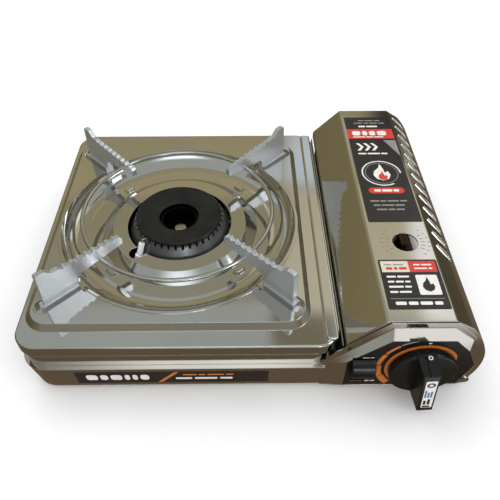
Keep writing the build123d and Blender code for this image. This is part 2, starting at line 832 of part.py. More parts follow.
with BuildPart() as hinge_pins:
    disc(upright(FRONT + 3), HINGE_X, FOOT_H + HINGE_H, HINGE_PIN_R, FRONT + 3 - ARCH_FACE)
    disc(upright(ARCH_FACE), HINGE_X, FOOT_H + HINGE_H, HINGE_PIN_R + 1.2, 1.2)
    disc(upright(BACK), HINGE_X, FOOT_H + HINGE_H, HINGE_PIN_R, 6)
    disc(upright(BACK + 0.9), HINGE_X, FOOT_H + HINGE_H, HINGE_PIN_R + 1.6, 1)
save(hinge_pins, "hinge_pins")

# ---- cartridge bay -----------------------------------------------------------------------

PIPE_R = 4.0
PIPE_START = 192.0
PIPE_CROSSING = around_dish(
    (PARTITION_X - DISH_X) / math.cos(math.radians(FEED_ANGLE)), FEED_ANGLE, MIXER_H
)
PARTITION_H = 50.0
LEAD_R = 1.3
LEAD_Y = FRONT + 26
LEAD_H = 38.5

with BuildPart() as bay_partition:
    block(sideways(PARTITION_X), FRONT + 3, BACK - 3, FOOT_H + SHEET, FOOT_H + PARTITION_H, SHEET)
    block(level(SHEET), PARTITION_X - 8, PARTITION_X + SHEET, FRONT + 24, BACK - 24, SHEET)
    disc(
        sideways(PARTITION_X - 1),
        PIPE_CROSSING[1],
        PIPE_CROSSING[2],
        PIPE_R + 2.5,
        SHEET + 2,
        mode=Mode.SUBTRACT,
    )
    disc(sideways(PARTITION_X - 1), LEAD_Y, FOOT_H + LEAD_H, LEAD_R + 0.7, SHEET + 2, mode=Mode.SUBTRACT)
    # cooling slots
    with BuildSketch(sideways(PARTITION_X - 1)):
        with Locations(((FRONT + BACK) / 2 + 25, FOOT_H + 24)):
            with GridLocations(16, 0, 9, 1):
                SlotOverall(26, 4, rotation=90)
    extrude(amount=SHEET + 2, mode=Mode.SUBTRACT)
save(bay_partition, "bay_partition")

REAR_FRAME_Y = BACK - 3.5
REAR_FRAME_T = 1.5
with BuildPart() as rear_frame:
    with BuildSketch(upright(REAR_FRAME_Y)):
        with BuildLine():
            Polyline(
                (LEFT + 256, FOOT_H + SHEET),
                (LEFT + 256, FOOT_H + 50),
                (LEFT + 280, FOOT_H + 78),
                (LEFT + 326, FOOT_H + 78),
                (LEFT + 338, FOOT_H + 70),
                (LEFT + 348, FOOT_H + 56),
                (LEFT + 355, FOOT_H + 34),
                (LEFT + 355, FOOT_H + HINGE_H),
                (LEFT + 346, FOOT_H + HINGE_H + 2),
                (LEFT + 318, FOOT_H + HINGE_H + 2),
                (LEFT + 318, FOOT_H + SHEET),
                close=True,
            )
        make_face()
        with Locations((HINGE_X, FOOT_H + HINGE_H)):
            Circle(EAR_R - 0.5)
        with Locations((CARTRIDGE_X, FOOT_H + CARTRIDGE_H)):
            Circle(27, mode=Mode.SUBTRACT)
        with Locations((HINGE_X, FOOT_H + HINGE_H)):
            Circle(HINGE_PIN_R, mode=Mode.SUBTRACT)
    extrude(amount=REAR_FRAME_T)
    block(level(SHEET), LEFT + 260, LEFT + 316, REAR_FRAME_Y - 8, REAR_FRAME_Y, 1.2)
save(rear_frame, "rear_frame")

CRADLE_FRONT = FRONT + 90
CRADLE_BACK = FRONT + 250
CRADLE_HALF = 18.0
CRADLE_RIBS = (FRONT + 110, FRONT + 230)
CARRIAGE_HALF = 10.0
CARRIAGE_LOW = 2.4
CARRIAGE_T = 1.6

with BuildPart() as cartridge_cradle:
    block(
        level(SHEET), CARTRIDGE_X - CRADLE_HALF, CARTRIDGE_X + CRADLE_HALF, CRADLE_FRONT, CRADLE_BACK, 1
    )
    for y in CRADLE_RIBS:
        with BuildSketch(upright(y + 3)) as rib:
            with Locations((CARTRIDGE_X, FOOT_H + SHEET + 8)):
                Rectangle(2 * CRADLE_HALF - 4, 16)
            with Locations((CARTRIDGE_X, FOOT_H + CARTRIDGE_H)):
                Circle(CARTRIDGE_R + 0.5, mode=Mode.SUBTRACT)
            with Locations((CARTRIDGE_X, FOOT_H + 3.8)):
                Rectangle(2 * CARRIAGE_HALF + 2, 3.6, mode=Mode.SUBTRACT)
        extrude(amount=6)
save(cartridge_cradle, "cartridge_cradle")

CARRIAGE_FRONT = FRONT + 22
CARRIAGE_BACK = FRONT + 267.5
FORK_X = LEFT + 270
FORK_GAP = 0.5

with BuildPart() as cartridge_carriage:
    block(
        level(CARRIAGE_LOW),
        CARTRIDGE_X - CARRIAGE_HALF,
        CARTRIDGE_X + CARRIAGE_HALF,
        CARRIAGE_FRONT,
        CARRIAGE_BACK,
        CARRIAGE_T,
    )
    # push plate behind the cartridge
    block(
        upright(CARRIAGE_BACK),
        CARTRIDGE_X - 16,
        CARTRIDGE_X + 16,
        FOOT_H + CARRIAGE_LOW,
        FOOT_H + 50,
        CARRIAGE_T,
        radius=3,
    )
    # arm to the lever
    block(
        level(CARRIAGE_LOW),
        FORK_X,
        CARTRIDGE_X,
        LEVER_PIVOT_Y + 12,
        LEVER_PIVOT_Y + 22,
        CARRIAGE_T,
    )
    block(
        sideways(FORK_X),
        LEVER_PIVOT_Y + 12,
        LEVER_PIVOT_Y + 22,
        FOOT_H + CARRIAGE_LOW,
        FOOT_H + LEVER_PIN_H + 6,
        CARRIAGE_T,
    )
    block(
        sideways(FORK_X),
        LEVER_PIVOT_Y - 5,
        LEVER_PIVOT_Y + 22,
        FOOT_H + LEVER_PIN_H - 7,
        FOOT_H + LEVER_PIN_H + 6,
        CARRIAGE_T,
        radius=2,
    )
    with BuildSketch(sideways(FORK_X - 1)):
        with Locations((LEVER_PIVOT_Y, FOOT_H + LEVER_PIN_H - 1)):
            SlotOverall(10, 2 * (LEVER_PIN_R + FORK_GAP), rotation=90)
    extrude(amount=CARRIAGE_T + 2, mode=Mode.SUBTRACT)
save(cartridge_carriage, "cartridge_carriage")

# ---- lock lever --------------------------------------------------------------------------

LEVER_T = 2.0
LEVER_PLATE_X = LEVER_X - LEVER_T / 2
TAB_W = 18.0
TAB_LOW = 20.0
TAB_HIGH = 42.0
TAB_BACK = FRONT - 5
TAB_T = 8.0
BRACKET_X = LEFT + 261.5
BRACKET_T = 2.0

with BuildPart() as lever_arm:
    panel(
        sideways(LEVER_PLATE_X),
        (
            (LEVER_PIVOT_Y - 4, FOOT_H + LEVER_PIVOT_H - 4),
            (LEVER_PIVOT_Y + 4, FOOT_H + LEVER_PIVOT_H - 4),
            (LEVER_PIVOT_Y + 4, FOOT_H + LEVER_PIN_H + 4),
            (LEVER_PIVOT_Y - 14, FOOT_H + LEVER_PIN_H + 7),
            (TAB_BACK - 3, FOOT_H + LEVER_PIN_H + 7),
            (TAB_BACK - 3, FOOT_H + LEVER_PIN_H - 1),
            (LEVER_PIVOT_Y - 12, FOOT_H + LEVER_PIN_H - 1),
        ),
        LEVER_T,
    )
    disc(
        sideways(LEVER_PLATE_X - 1),
        LEVER_PIVOT_Y,
        FOOT_H + LEVER_PIVOT_H,
        LEVER_PIN_R + RUNNING_GAP,
        LEVER_T + 2,
        mode=Mode.SUBTRACT,
    )
    disc(
        sideways(LEVER_PLATE_X - 1),
        LEVER_PIVOT_Y,
        FOOT_H + LEVER_PIN_H,
        LEVER_PIN_R,
        LEVER_T + 2,
        mode=Mode.SUBTRACT,
    )
save(lever_arm, "lever_arm")

with BuildPart() as lever_drive_pin:
    disc(sideways(LEVER_PLATE_X), LEVER_PIVOT_Y, FOOT_H + LEVER_PIN_H, LEVER_PIN_R, 8)
save(lever_drive_pin, "lever_drive_pin")

with BuildPart() as lock_lever:
    # thumb tab, rounded towards the user
    with BuildSketch(sideways(LEVER_X - TAB_W / 2)):
        with BuildLine():
            rear = Line((TAB_BACK, FOOT_H + TAB_LOW), (TAB_BACK, FOOT_H + TAB_HIGH))
            ThreePointArc(
                rear @ 1, (TAB_BACK - TAB_T, FOOT_H + (TAB_LOW + TAB_HIGH) / 2), rear @ 0
            )
        make_face()
    extrude(amount=TAB_W)
    fillet(lock_lever.faces().sort_by(Axis.Y)[0].edges().filter_by(GeomType.CIRCLE), radius=0.8)
    add(lever_arm.part, mode=Mode.SUBTRACT)
save(lock_lever, "lock_lever")

with BuildPart() as lever_bracket:
    block(sideways(BRACKET_X), LEVER_PIVOT_Y - 8, LEVER_PIVOT_Y + 8, FOOT_H + SHEET, FOOT_H + 20, BRACKET_T, radius=0)
    block(level(SHEET), BRACKET_X - 8, BRACKET_X + 1, LEVER_PIVOT_Y - 8, LEVER_PIVOT_Y + 8, 1.5)
    disc(sideways(BRACKET_X), LEVER_PIVOT_Y, FOOT_H + LEVER_PIVOT_H, 3, LEVER_PLATE_X - BRACKET_X - 0.1)
    disc(
        sideways(BRACKET_X - 1), LEVER_PIVOT_Y, FOOT_H + LEVER_PIVOT_H, LEVER_PIN_R, 8, mode=Mode.SUBTRACT
    )
save(lever_bracket, "lever_bracket")

with BuildPart() as lever_pivot_pin:
    disc(sideways(BRACKET_X - 1), LEVER_PIVOT_Y, FOOT_H + LEVER_PIVOT_H, 2.8, 1)
    disc(sideways(BRACKET_X), LEVER_PIVOT_Y, FOOT_H + LEVER_PIVOT_H, LEVER_PIN_R, 7.5)
    disc(sideways(LEVER_X + LEVER_T / 2 + 0.2), LEVER_PIVOT_Y, FOOT_H + LEVER_PIVOT_H, 2.8, 0.8)
save(lever_pivot_pin, "lever_pivot_pin")

# ---- control panel, knob and gas valve ---------------------------------------------------

PANEL_FACE = FRONT - 3.4
PANEL_T = 2.0
PANEL_FIT = 0.15
SLOT_W = 12.0
SLOT_LOW = 8.0
SLOT_HIGH = 39.0
SPINDLE_HOLE_R = 5.0

with BuildPart() as control_panel:
    extrude(opening_outline(PANEL_FACE + PANEL_T, -PANEL_FIT), amount=PANEL_T)
    extrude(opening_outline(PANEL_FACE + PANEL_T + 1.2, 0.8), amount=1.2)
    block(
        upright(FRONT + 2),
        LEVER_X - SLOT_W / 2,
        LEVER_X + SLOT_W / 2,
        FOOT_H + SLOT_LOW,
        FOOT_H + SLOT_HIGH,
        10,
        radius=1.5,
        mode=Mode.SUBTRACT,
    )
    disc(upright(FRONT + 2), KNOB_X, FOOT_H + KNOB_H, SPINDLE_HOLE_R, 10, mode=Mode.SUBTRACT)
save(control_panel, "control_panel")

KNOB_R = 26.0
KNOB_BACK = FRONT - 5
KNOB_DISC_T = 6.0
KNOB_BAR_W = 15.0
KNOB_BAR_TOP_W = 12.0
KNOB_LEAN = 6.0  # degrees, upper end to the left
KNOB_FRONT = FRONT - KNOB_REACH
SPINDLE_FRONT = FRONT - 20
SPINDLE_END = FRONT + 20

with BuildPart() as knob:
    disc(upright(KNOB_BACK), KNOB_X, FOOT_H + KNOB_H, KNOB_R, KNOB_DISC_T)
    fillet(knob.faces().sort_by(Axis.Y)[0].edges(), radius=1.5)
    # grip bar, narrower towards the front, leaning a little in the off position
    with BuildSketch(upright(KNOB_BACK - 1)):
        with Locations((KNOB_X, FOOT_H + KNOB_H)):
            Rectangle(KNOB_BAR_W, 2 * KNOB_R - 0.4, rotation=KNOB_LEAN)
    with BuildSketch(upright(KNOB_FRONT)):
        with Locations((KNOB_X, FOOT_H + KNOB_H)):
            Rectangle(KNOB_BAR_TOP_W, 2 * KNOB_R - 2, rotation=KNOB_LEAN)
    loft()
    front_face = knob.faces().sort_by(Axis.Y)[0]
    chamfer(front_face.edges(), length=0.6)
    disc(upright(KNOB_BACK + 1.4), KNOB_X, FOOT_H + KNOB_H, 8, 2)
    # index groove along the upper end of the bar
    with BuildSketch(upright(KNOB_BACK - KNOB_DISC_T)):
        with Locations(Location((KNOB_X, FOOT_H + KNOB_H), KNOB_LEAN)):
            with Locations((-1.4, KNOB_R)):
                Rectangle(1, 3.4)
    extrude(amount=KNOB_REACH, mode=Mode.SUBTRACT)
    disc(upright(FRONT), KNOB_X, FOOT_H + KNOB_H, SPINDLE_R, FRONT - SPINDLE_FRONT, mode=Mode.SUBTRACT)
save(knob, "knob")

with BuildPart() as valve_spindle:
    disc(upright(SPINDLE_END), KNOB_X, FOOT_H + KNOB_H, SPINDLE_R, SPINDLE_END - SPINDLE_FRONT)
save(valve_spindle, "valve_spindle")

CAM_R = 8.0
CAM_RISE = 1.91  # radius gained per radian
CAM_TURN = 125.0
CAM_STEPS = 25
CAM_BACK = FRONT + 10
CAM_T = 5.0


def cam_edge(turn):
    """Point of the spiral, clockwise from the top as seen from the front."""
    radius = CAM_R + CAM_RISE * math.radians(turn)
    return (
        KNOB_X + radius * math.sin(math.radians(turn)),
        FOOT_H + KNOB_H + radius * math.cos(math.radians(turn)),
    )


with BuildPart() as ignition_cam:
    with BuildSketch(upright(CAM_BACK)):
        with BuildLine():
            spiral = Spline(*[cam_edge(CAM_TURN * step / CAM_STEPS) for step in range(CAM_STEPS + 1)])
            heel = Line(spiral @ 1, (KNOB_X - 1, FOOT_H + KNOB_H - CAM_R))
            rear = ThreePointArc(heel @ 1, (KNOB_X - CAM_R, FOOT_H + KNOB_H), spiral @ 0)
        make_face()
        with Locations((KNOB_X, FOOT_H + KNOB_H)):
            Circle(SPINDLE_R, mode=Mode.SUBTRACT)
    extrude(amount=CAM_T)
save(ignition_cam, "ignition_cam")

PIEZO_Y = FRONT + 7.5
PIEZO_LOW = 47.0
PIEZO_HIGH = 73.0
PLUNGER_R = 2.2
PLUNGER_GAP = 0.3
PLUNGER_TOP = 58.0
with BuildPart() as piezo_igniter:
    block(level(PIEZO_LOW), KNOB_X - 6.5, KNOB_X + 6.5, PIEZO_Y - 5, PIEZO_Y + 5, PIEZO_HIGH - PIEZO_LOW, radius=1)
    disc(level(PIEZO_LOW - 1), KNOB_X, PIEZO_Y, PLUNGER_R + RUNNING_GAP + 0.05, 18, mode=Mode.SUBTRACT)
save(piezo_igniter, "piezo_igniter")

with BuildPart() as piezo_plunger:
    disc(level(KNOB_H + CAM_R + PLUNGER_GAP + PLUNGER_R), KNOB_X, PIEZO_Y, PLUNGER_R, PLUNGER_TOP - 42)
    with Locations((KNOB_X, PIEZO_Y, FOOT_H + KNOB_H + CAM_R + PLUNGER_GAP + PLUNGER_R)):
        Sphere(PLUNGER_R)
save(piezo_plunger, "piezo_plunger")

with BuildPart() as piezo_clip:
    block(level(PIEZO_LOW + 8), KNOB_X - 8, KNOB_X + 8, PIEZO_Y - 5, PIEZO_Y + 6.2, 10)
    block(level(PIEZO_LOW + 8), KNOB_X - 6.5, KNOB_X + 6.5, PIEZO_Y - 6, PIEZO_Y + 5, 10, mode=Mode.SUBTRACT)
    # leg down to the regulator bracket
    block(upright(PIEZO_Y + 6.2), KNOB_X - 4, KNOB_X + 4, FOOT_H + PIEZO_LOW - 3, FOOT_H + PIEZO_LOW + 9, 1.2)
    block(level(PIEZO_LOW - 4), KNOB_X - 4, KNOB_X + 4, PIEZO_Y + 5, PIEZO_Y + 15, 1.2)
save(piezo_clip, "piezo_clip")

VALVE_FRONT = FRONT + 14
VALVE_BACK = FRONT + 36
VALVE_LOW = 18.0
VALVE_HIGH = 43.0
VALVE_LEFT = LEFT + 301
VALVE_RIGHT = LEFT + 325
SOCKET_R = 15.0
SOCKET_END = FRONT + 64
SOCKET_BORE_R = 9.0
SEAL_Y = FRONT + 54
SEAL_T = 2.0
SEAL_R = 7.5
STEM_BORE_R = 4.0
HOUSING_R = 14.0
HOUSING_Y = FRONT + 25
HOUSING_T = 8.0
HOUSING_CAP_T = 4.0
HOUSING_SCREWS = 4
HOUSING_SCREW_R = 1.6
PIPE_LOW = around_dish(150, FEED_ANGLE, MIXER_H)
PIPE_HIGH = around_dish(PIPE_START + 2, FEED_ANGLE, MIXER_H)

with BuildPart() as regulator_body:
    block(
        upright(VALVE_BACK),
        VALVE_LEFT,
        VALVE_RIGHT,
        FOOT_H + VALVE_LOW,
        FOOT_H + VALVE_HIGH,
        VALVE_BACK - VALVE_FRONT,
        radius=3,
    )
    disc(
        upright(SOCKET_END),
        CARTRIDGE_X,
        FOOT_H + CARTRIDGE_H,
        SOCKET_R,
        SOCKET_END - VALVE_BACK + 2,
    )
    disc(sideways(VALVE_RIGHT), HOUSING_Y, FOOT_H + KNOB_H, HOUSING_R, HOUSING_T)
    block(level(20), LEFT + 286, VALVE_LEFT + 2, FRONT + 30, FRONT + 50, 14, radius=2)
    # socket, with a step for the seal
    disc(
        upright(SOCKET_END + 1),
        CARTRIDGE_X,
        FOOT_H + CARTRIDGE_H,
        SOCKET_BORE_R,
        SOCKET_END + 1 - SEAL_Y,
        mode=Mode.SUBTRACT,
    )
    disc(upright(SEAL_Y + 1), CARTRIDGE_X, FOOT_H + CARTRIDGE_H, SEAL_R, SEAL_T + 1, mode=Mode.SUBTRACT)
    disc(
        upright(SEAL_Y),
        CARTRIDGE_X,
        FOOT_H + CARTRIDGE_H,
        STEM_BORE_R,
        SEAL_T + 10,
        mode=Mode.SUBTRACT,
    )
    disc(
        upright(SPINDLE_END + 1),
        KNOB_X,
        FOOT_H + KNOB_H,
        SPINDLE_R + RUNNING_GAP,
        SPINDLE_END + 2 - VALVE_FRONT,
        mode=Mode.SUBTRACT,
    )
    rod(PIPE_LOW, PIPE_HIGH, PIPE_R, mode=Mode.SUBTRACT)
    with BuildSketch(sideways(VALVE_RIGHT + HOUSING_T - 6)):
        with Locations((HOUSING_Y, FOOT_H + KNOB_H)):
            with PolarLocations(HOUSING_R - 3, HOUSING_SCREWS, start_angle=45):
                Circle(HOUSING_SCREW_R)
    extrude(amount=8, mode=Mode.SUBTRACT)
save(regulator_body, "regulator_body")

CAP_X = VALVE_RIGHT + HOUSING_T
with BuildPart() as regulator_cap:
    disc(sideways(CAP_X), HOUSING_Y, FOOT_H + KNOB_H, HOUSING_R, HOUSING_CAP_T - 1)
    disc(sideways(CAP_X), HOUSING_Y, FOOT_H + KNOB_H, HOUSING_R - 6, HOUSING_CAP_T)
    with BuildSketch(sideways(CAP_X - 1)):
        with Locations((HOUSING_Y, FOOT_H + KNOB_H)):
            with PolarLocations(HOUSING_R - 3, HOUSING_SCREWS, start_angle=45):
                Circle(HOUSING_SCREW_R)
    extrude(amount=HOUSING_CAP_T + 2, mode=Mode.SUBTRACT)
save(regulator_cap, "regulator_cap")

with BuildPart() as regulator_screws:
    with BuildSketch(sideways(CAP_X - 5)):
        with Locations((HOUSING_Y, FOOT_H + KNOB_H)):
            with PolarLocations(HOUSING_R - 3, HOUSING_SCREWS, start_angle=45):
                Circle(HOUSING_SCREW_R)
    extrude(amount=5 + HOUSING_CAP_T - 1)
    with BuildSketch(sideways(CAP_X + HOUSING_CAP_T - 1)) as heads:
        with Locations((HOUSING_Y, FOOT_H + KNOB_H)):
            with PolarLocations(HOUSING_R - 3, HOUSING_SCREWS, start_angle=45):
                Circle(HOUSING_SCREW_R + 1)
    extrude(amount=1.4)
save(regulator_screws, "regulator_screws")

with BuildPart() as regulator_bracket:
    block(level(SHEET), LEFT + 317, LEFT + 327, VALVE_FRONT + 2, VALVE_BACK - 2, 1.5)
    block(level(SHEET), LEFT + 317, LEFT + 318.5, VALVE_FRONT + 2, VALVE_BACK - 2, VALVE_LOW - SHEET)
    block(level(VALVE_LOW - 1.5), LEFT + 317, LEFT + 322, VALVE_FRONT + 2, VALVE_BACK - 2, 1.5)
save(regulator_bracket, "regulator_bracket")

GUIDE_R = 21.0
GUIDE_RIM_R = 27.0
GUIDE_DEPTH = 4.0
GUIDE_KEY_W = 6.0
with BuildPart() as guide_ring:
    disc(
        upright(SOCKET_END + GUIDE_DEPTH),
        CARTRIDGE_X,
        FOOT_H + CARTRIDGE_H,
        GUIDE_RIM_R,
        GUIDE_DEPTH + 2,
    )
    disc(
        upright(SOCKET_END + GUIDE_DEPTH + 1),
        CARTRIDGE_X,
        FOOT_H + CARTRIDGE_H,
        GUIDE_R,
        GUIDE_DEPTH + 1,
        mode=Mode.SUBTRACT,
    )
    disc(
        upright(SOCKET_END + 1),
        CARTRIDGE_X,
        FOOT_H + CARTRIDGE_H,
        SOCKET_R,
        GUIDE_DEPTH,
        mode=Mode.SUBTRACT,
    )
    # notch that the cartridge collar is turned to
    block(
        upright(SOCKET_END + GUIDE_DEPTH + 1),
        CARTRIDGE_X - GUIDE_KEY_W / 2,
        CARTRIDGE_X + GUIDE_KEY_W / 2,
        FOOT_H + CARTRIDGE_H + GUIDE_R - 2,
        FOOT_H + CARTRIDGE_H + GUIDE_RIM_R + 2,
        GUIDE_DEPTH + 1,
        mode=Mode.SUBTRACT,
    )
save(guide_ring, "guide_ring")

with BuildPart() as socket_seal:
    disc(upright(SEAL_Y - 0.2), CARTRIDGE_X, FOOT_H + CARTRIDGE_H, SEAL_R, SEAL_T - 0.2)
    disc(
        upright(SEAL_Y + 1), CARTRIDGE_X, FOOT_H + CARTRIDGE_H, STEM_BORE_R, SEAL_T + 2, mode=Mode.SUBTRACT
    )
save(socket_seal, "socket_seal")

PIPE_BORE_R = 2.5
NOZZLE_TIP = around_dish(MIXER_START + 2, FEED_ANGLE, MIXER_H)
NOZZLE_END = around_dish(152, FEED_ANGLE, MIXER_H)
JET_R = 0.6
with BuildPart() as gas_pipe:
    rod(PIPE_LOW, PIPE_HIGH, PIPE_R)
    rod(around_dish(149, FEED_ANGLE, MIXER_H), around_dish(195, FEED_ANGLE, MIXER_H), PIPE_BORE_R, mode=Mode.SUBTRACT)
save(gas_pipe, "gas_pipe")

with BuildPart() as injector_nozzle:
    with BuildSketch(Plane(origin=NOZZLE_TIP, z_dir=Vector(*NOZZLE_END) - Vector(*NOZZLE_TIP))):
        RegularPolygon(5, 6)
    extrude(amount=10)
    rod(NOZZLE_TIP, NOZZLE_END, PIPE_BORE_R)
    rod(NOZZLE_TIP, NOZZLE_END, JET_R, mode=Mode.SUBTRACT)
save(injector_nozzle, "injector_nozzle")

# ---- ignition lead and feet --------------------------------------------------------------

LEAD_BEND_LIMIT = 16.0
LEAD_FLOOR_H = 5.0
LEAD_LOW = along_electrode(-0.12)
LEAD_PATH = (
    (KNOB_X - 6.5, PIEZO_Y, FOOT_H + PIEZO_LOW + 4),
    (LEFT + 292, PIEZO_Y, FOOT_H + PIEZO_LOW + 4),
    (LEFT + 280, LEAD_Y, FOOT_H + LEAD_H),
    (LEFT + 240, LEAD_Y, FOOT_H + LEAD_H),
    (LEFT + 232, LEAD_Y + 4, FOOT_H + LEAD_FLOOR_H),
    (LEAD_LOW[0] + 22, LEAD_LOW[1] - 14, FOOT_H + LEAD_FLOOR_H),
    along_electrode(-0.5),
    LEAD_LOW,
)


def bend_radii(path):
    """The widest even bend at each corner of a route, up to the limit."""
    radii = []
    for before, corner, after in zip(path, path[1:], path[2:]):
        arriving = Vector(*corner) - Vector(*before)
        leaving = Vector(*after) - Vector(*corner)
        turn = math.radians(arriving.get_angle(leaving))
        shorter = min(arriving.length, leaving.length)
        radii.append(min(LEAD_BEND_LIMIT, 0.45 * shorter / math.tan(turn / 2)))
    return radii


LEAD_RADII = bend_radii(LEAD_PATH)
print("lead bends", [round(radius, 1) for radius in LEAD_RADII])
with BuildPart() as ignition_lead:
    with BuildLine() as route:
        FilletPolyline(*LEAD_PATH, radius=LEAD_RADII)
    print("lead length", round(route.wires()[0].length))
    with BuildSketch(Plane(origin=LEAD_PATH[0], z_dir=(-1, 0, 0))):
        Circle(LEAD_R)
    sweep(path=route.wires()[0])
save(ignition_lead, "ignition_lead")

with BuildPart() as rubber_feet:
    for x, y in FOOT_SPOTS:
        disc(Plane.XY, x, y, FOOT_R, FOOT_H)
        disc(level(0), x, y, FOOT_STEM_R, SHEET)
        disc(level(SHEET), x, y, FOOT_STEM_R + 1.5, 1.5)
    chamfer(rubber_feet.faces().sort_by(Axis.Z)[:4].edges(), length=1)
save(rubber_feet, "rubber_feet")
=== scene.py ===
import json
import math

import bmesh
import bpy
from mathutils import Matrix, Vector


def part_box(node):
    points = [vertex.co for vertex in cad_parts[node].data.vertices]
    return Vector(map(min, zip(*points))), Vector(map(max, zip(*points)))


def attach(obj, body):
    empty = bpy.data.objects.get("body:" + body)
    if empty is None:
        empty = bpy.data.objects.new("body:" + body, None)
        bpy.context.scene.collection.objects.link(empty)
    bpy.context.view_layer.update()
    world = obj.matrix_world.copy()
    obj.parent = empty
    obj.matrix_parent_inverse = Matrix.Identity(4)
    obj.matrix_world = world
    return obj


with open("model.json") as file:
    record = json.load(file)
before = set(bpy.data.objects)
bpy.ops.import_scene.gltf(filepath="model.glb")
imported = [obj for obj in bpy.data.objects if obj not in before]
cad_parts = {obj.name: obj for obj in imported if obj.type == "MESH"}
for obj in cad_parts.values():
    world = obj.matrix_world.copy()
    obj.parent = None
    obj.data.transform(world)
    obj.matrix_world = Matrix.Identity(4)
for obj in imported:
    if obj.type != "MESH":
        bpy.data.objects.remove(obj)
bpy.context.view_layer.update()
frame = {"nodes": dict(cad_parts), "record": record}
MM = 0.001

# ---- where things are, from the frame ------------------------------------------------------

LEFT, FRONT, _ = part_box("top_plate")[0]
FOOT = 5.0  # the body's underside stands this far above the table, mm
COVER_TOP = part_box("cartridge_cover")[1][2] / MM - FOOT
BURNER = (Vector(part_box("burner_cap")[0]) + Vector(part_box("burner_cap")[1])) / 2


def at(x, y, z):
    """A point given in millimetres from the plate's front left corner and the body's underside."""
    return Vector((LEFT + x * MM, FRONT + y * MM, (FOOT + z) * MM))


# ---- material helpers -----------------------------------------------------------------------


def new_material(name, color, roughness, metallic=0.0, **sockets):
    material = bpy.data.materials.new(name)
    material.use_nodes = True
    shader = shader_of(material)
    shader.inputs["Base Color"].default_value = (*color, 1)
    shader.inputs["Roughness"].default_value = roughness
    shader.inputs["Metallic"].default_value = metallic
    for key, value in sockets.items():
        shader.inputs[key.replace("_", " ")].default_value = value
    return material


def shader_of(material):
    return material.node_tree.nodes["Principled BSDF"]


def noise(material, scale, detail, stretch=(1, 1, 1), distortion=0.0):
    nodes, links = material.node_tree.nodes, material.node_tree.links
    coords = nodes.new("ShaderNodeTexCoord")
    mapping = nodes.new("ShaderNodeMapping")
    mapping.inputs["Scale"].default_value = stretch
    texture = nodes.new("ShaderNodeTexNoise")
    texture.inputs["Scale"].default_value = scale
    texture.inputs["Detail"].default_value = detail
    texture.inputs["Distortion"].default_value = distortion
    links.new(coords.outputs["Object"], mapping.inputs["Vector"])
    links.new(mapping.outputs["Vector"], texture.inputs["Vector"])
    return texture.outputs["Fac"]


def color_from(material, source, stops):
    """Colour the material by a ramp: stops are pairs of place and colour."""
    nodes, links = material.node_tree.nodes, material.node_tree.links
    ramp = nodes.new("ShaderNodeValToRGB")
    while len(ramp.color_ramp.elements) < len(stops):
        ramp.color_ramp.elements.new(0.5)
    for element, (place, color) in zip(ramp.color_ramp.elements, stops):
        element.position = place
        element.color = (*color, 1)
    links.new(source, ramp.inputs["Fac"])
    links.new(ramp.outputs["Color"], shader_of(material).inputs["Base Color"])


def vary_color(material, source, low, high):
    color_from(material, source, ((0.35, low), (0.65, high)))


def vary_roughness(material, source, low, high):
    nodes, links = material.node_tree.nodes, material.node_tree.links
    spread = nodes.new("ShaderNodeMapRange")
    spread.inputs["From Min"].default_value = 0.3
    spread.inputs["From Max"].default_value = 0.7
    spread.inputs["To Min"].default_value = low
    spread.inputs["To Max"].default_value = high
    links.new(source, spread.inputs["Value"])
    links.new(spread.outputs["Result"], shader_of(material).inputs["Roughness"])


def surface(material, edge, height, strength, distance):
    """A bump, on top of the rounded look of sharp edges where edge isn't 0."""
    nodes, links = material.node_tree.nodes, material.node_tree.links
    bump = nodes.new("ShaderNodeBump")
    bump.inputs["Strength"].default_value = strength
    bump.inputs["Distance"].default_value = distance
    links.new(height, bump.inputs["Height"])
    if edge:
        bevel = nodes.new("ShaderNodeBevel")
        bevel.samples = 6
        bevel.inputs["Radius"].default_value = edge
        links.new(bevel.outputs["Normal"], bump.inputs["Normal"])
    links.new(bump.outputs["Normal"], shader_of(material).inputs["Normal"])


def math_node(tree, operation, first, second):
    """Join two values by a math node; the second may be a plain number."""
    node = tree.nodes.new("ShaderNodeMath")
    node.operation = operation
    tree.links.new(first, node.inputs[0])
    if isinstance(second, float):
        node.inputs[1].default_value = second
    else:
        tree.links.new(second, node.inputs[1])
    return node.outputs[0]


# ---- materials ------------------------------------------------------------------------------


def sheet_steel(name, tint, low, high):
    """Polished pressed stainless: faint wiping marks, a slight waviness from the press."""
    material = new_material(name, tint, (low + high) / 2, 1.0)
    vary_roughness(material, noise(material, 26, 5, (1, 3, 1), 0.4), low, high)
    vary_color(material, noise(material, 14, 4), tuple(0.94 * c for c in tint), tint)
    surface(material, 0.7 * MM, noise(material, 7, 1.0), 0.05, 0.004)
    return material


steel = sheet_steel("polished_steel", (0.63, 0.61, 0.575), 0.045, 0.085)
shell_steel = sheet_steel("shell_steel", (0.62, 0.58, 0.53), 0.06, 0.12)
cover_steel = sheet_steel("cover_steel", (0.62, 0.59, 0.54), 0.045, 0.085)

plain_steel = new_material("pressed_steel", (0.5, 0.5, 0.49), 0.35, 1.0)
vary_roughness(plain_steel, noise(plain_steel, 60, 5), 0.28, 0.45)
surface(plain_steel, 0.4 * MM, noise(plain_steel, 300, 3), 0.05, 0.0005)

arm_coat = new_material("arm_enamel", (0.62, 0.64, 0.67), 0.4, 0.85)
vary_color(arm_coat, noise(arm_coat, 900, 4), (0.6, 0.62, 0.65), (0.68, 0.7, 0.73))
vary_roughness(arm_coat, noise(arm_coat, 300, 4), 0.34, 0.46)
surface(arm_coat, 0.5 * MM, noise(arm_coat, 1500, 3), 0.25, 0.0003)

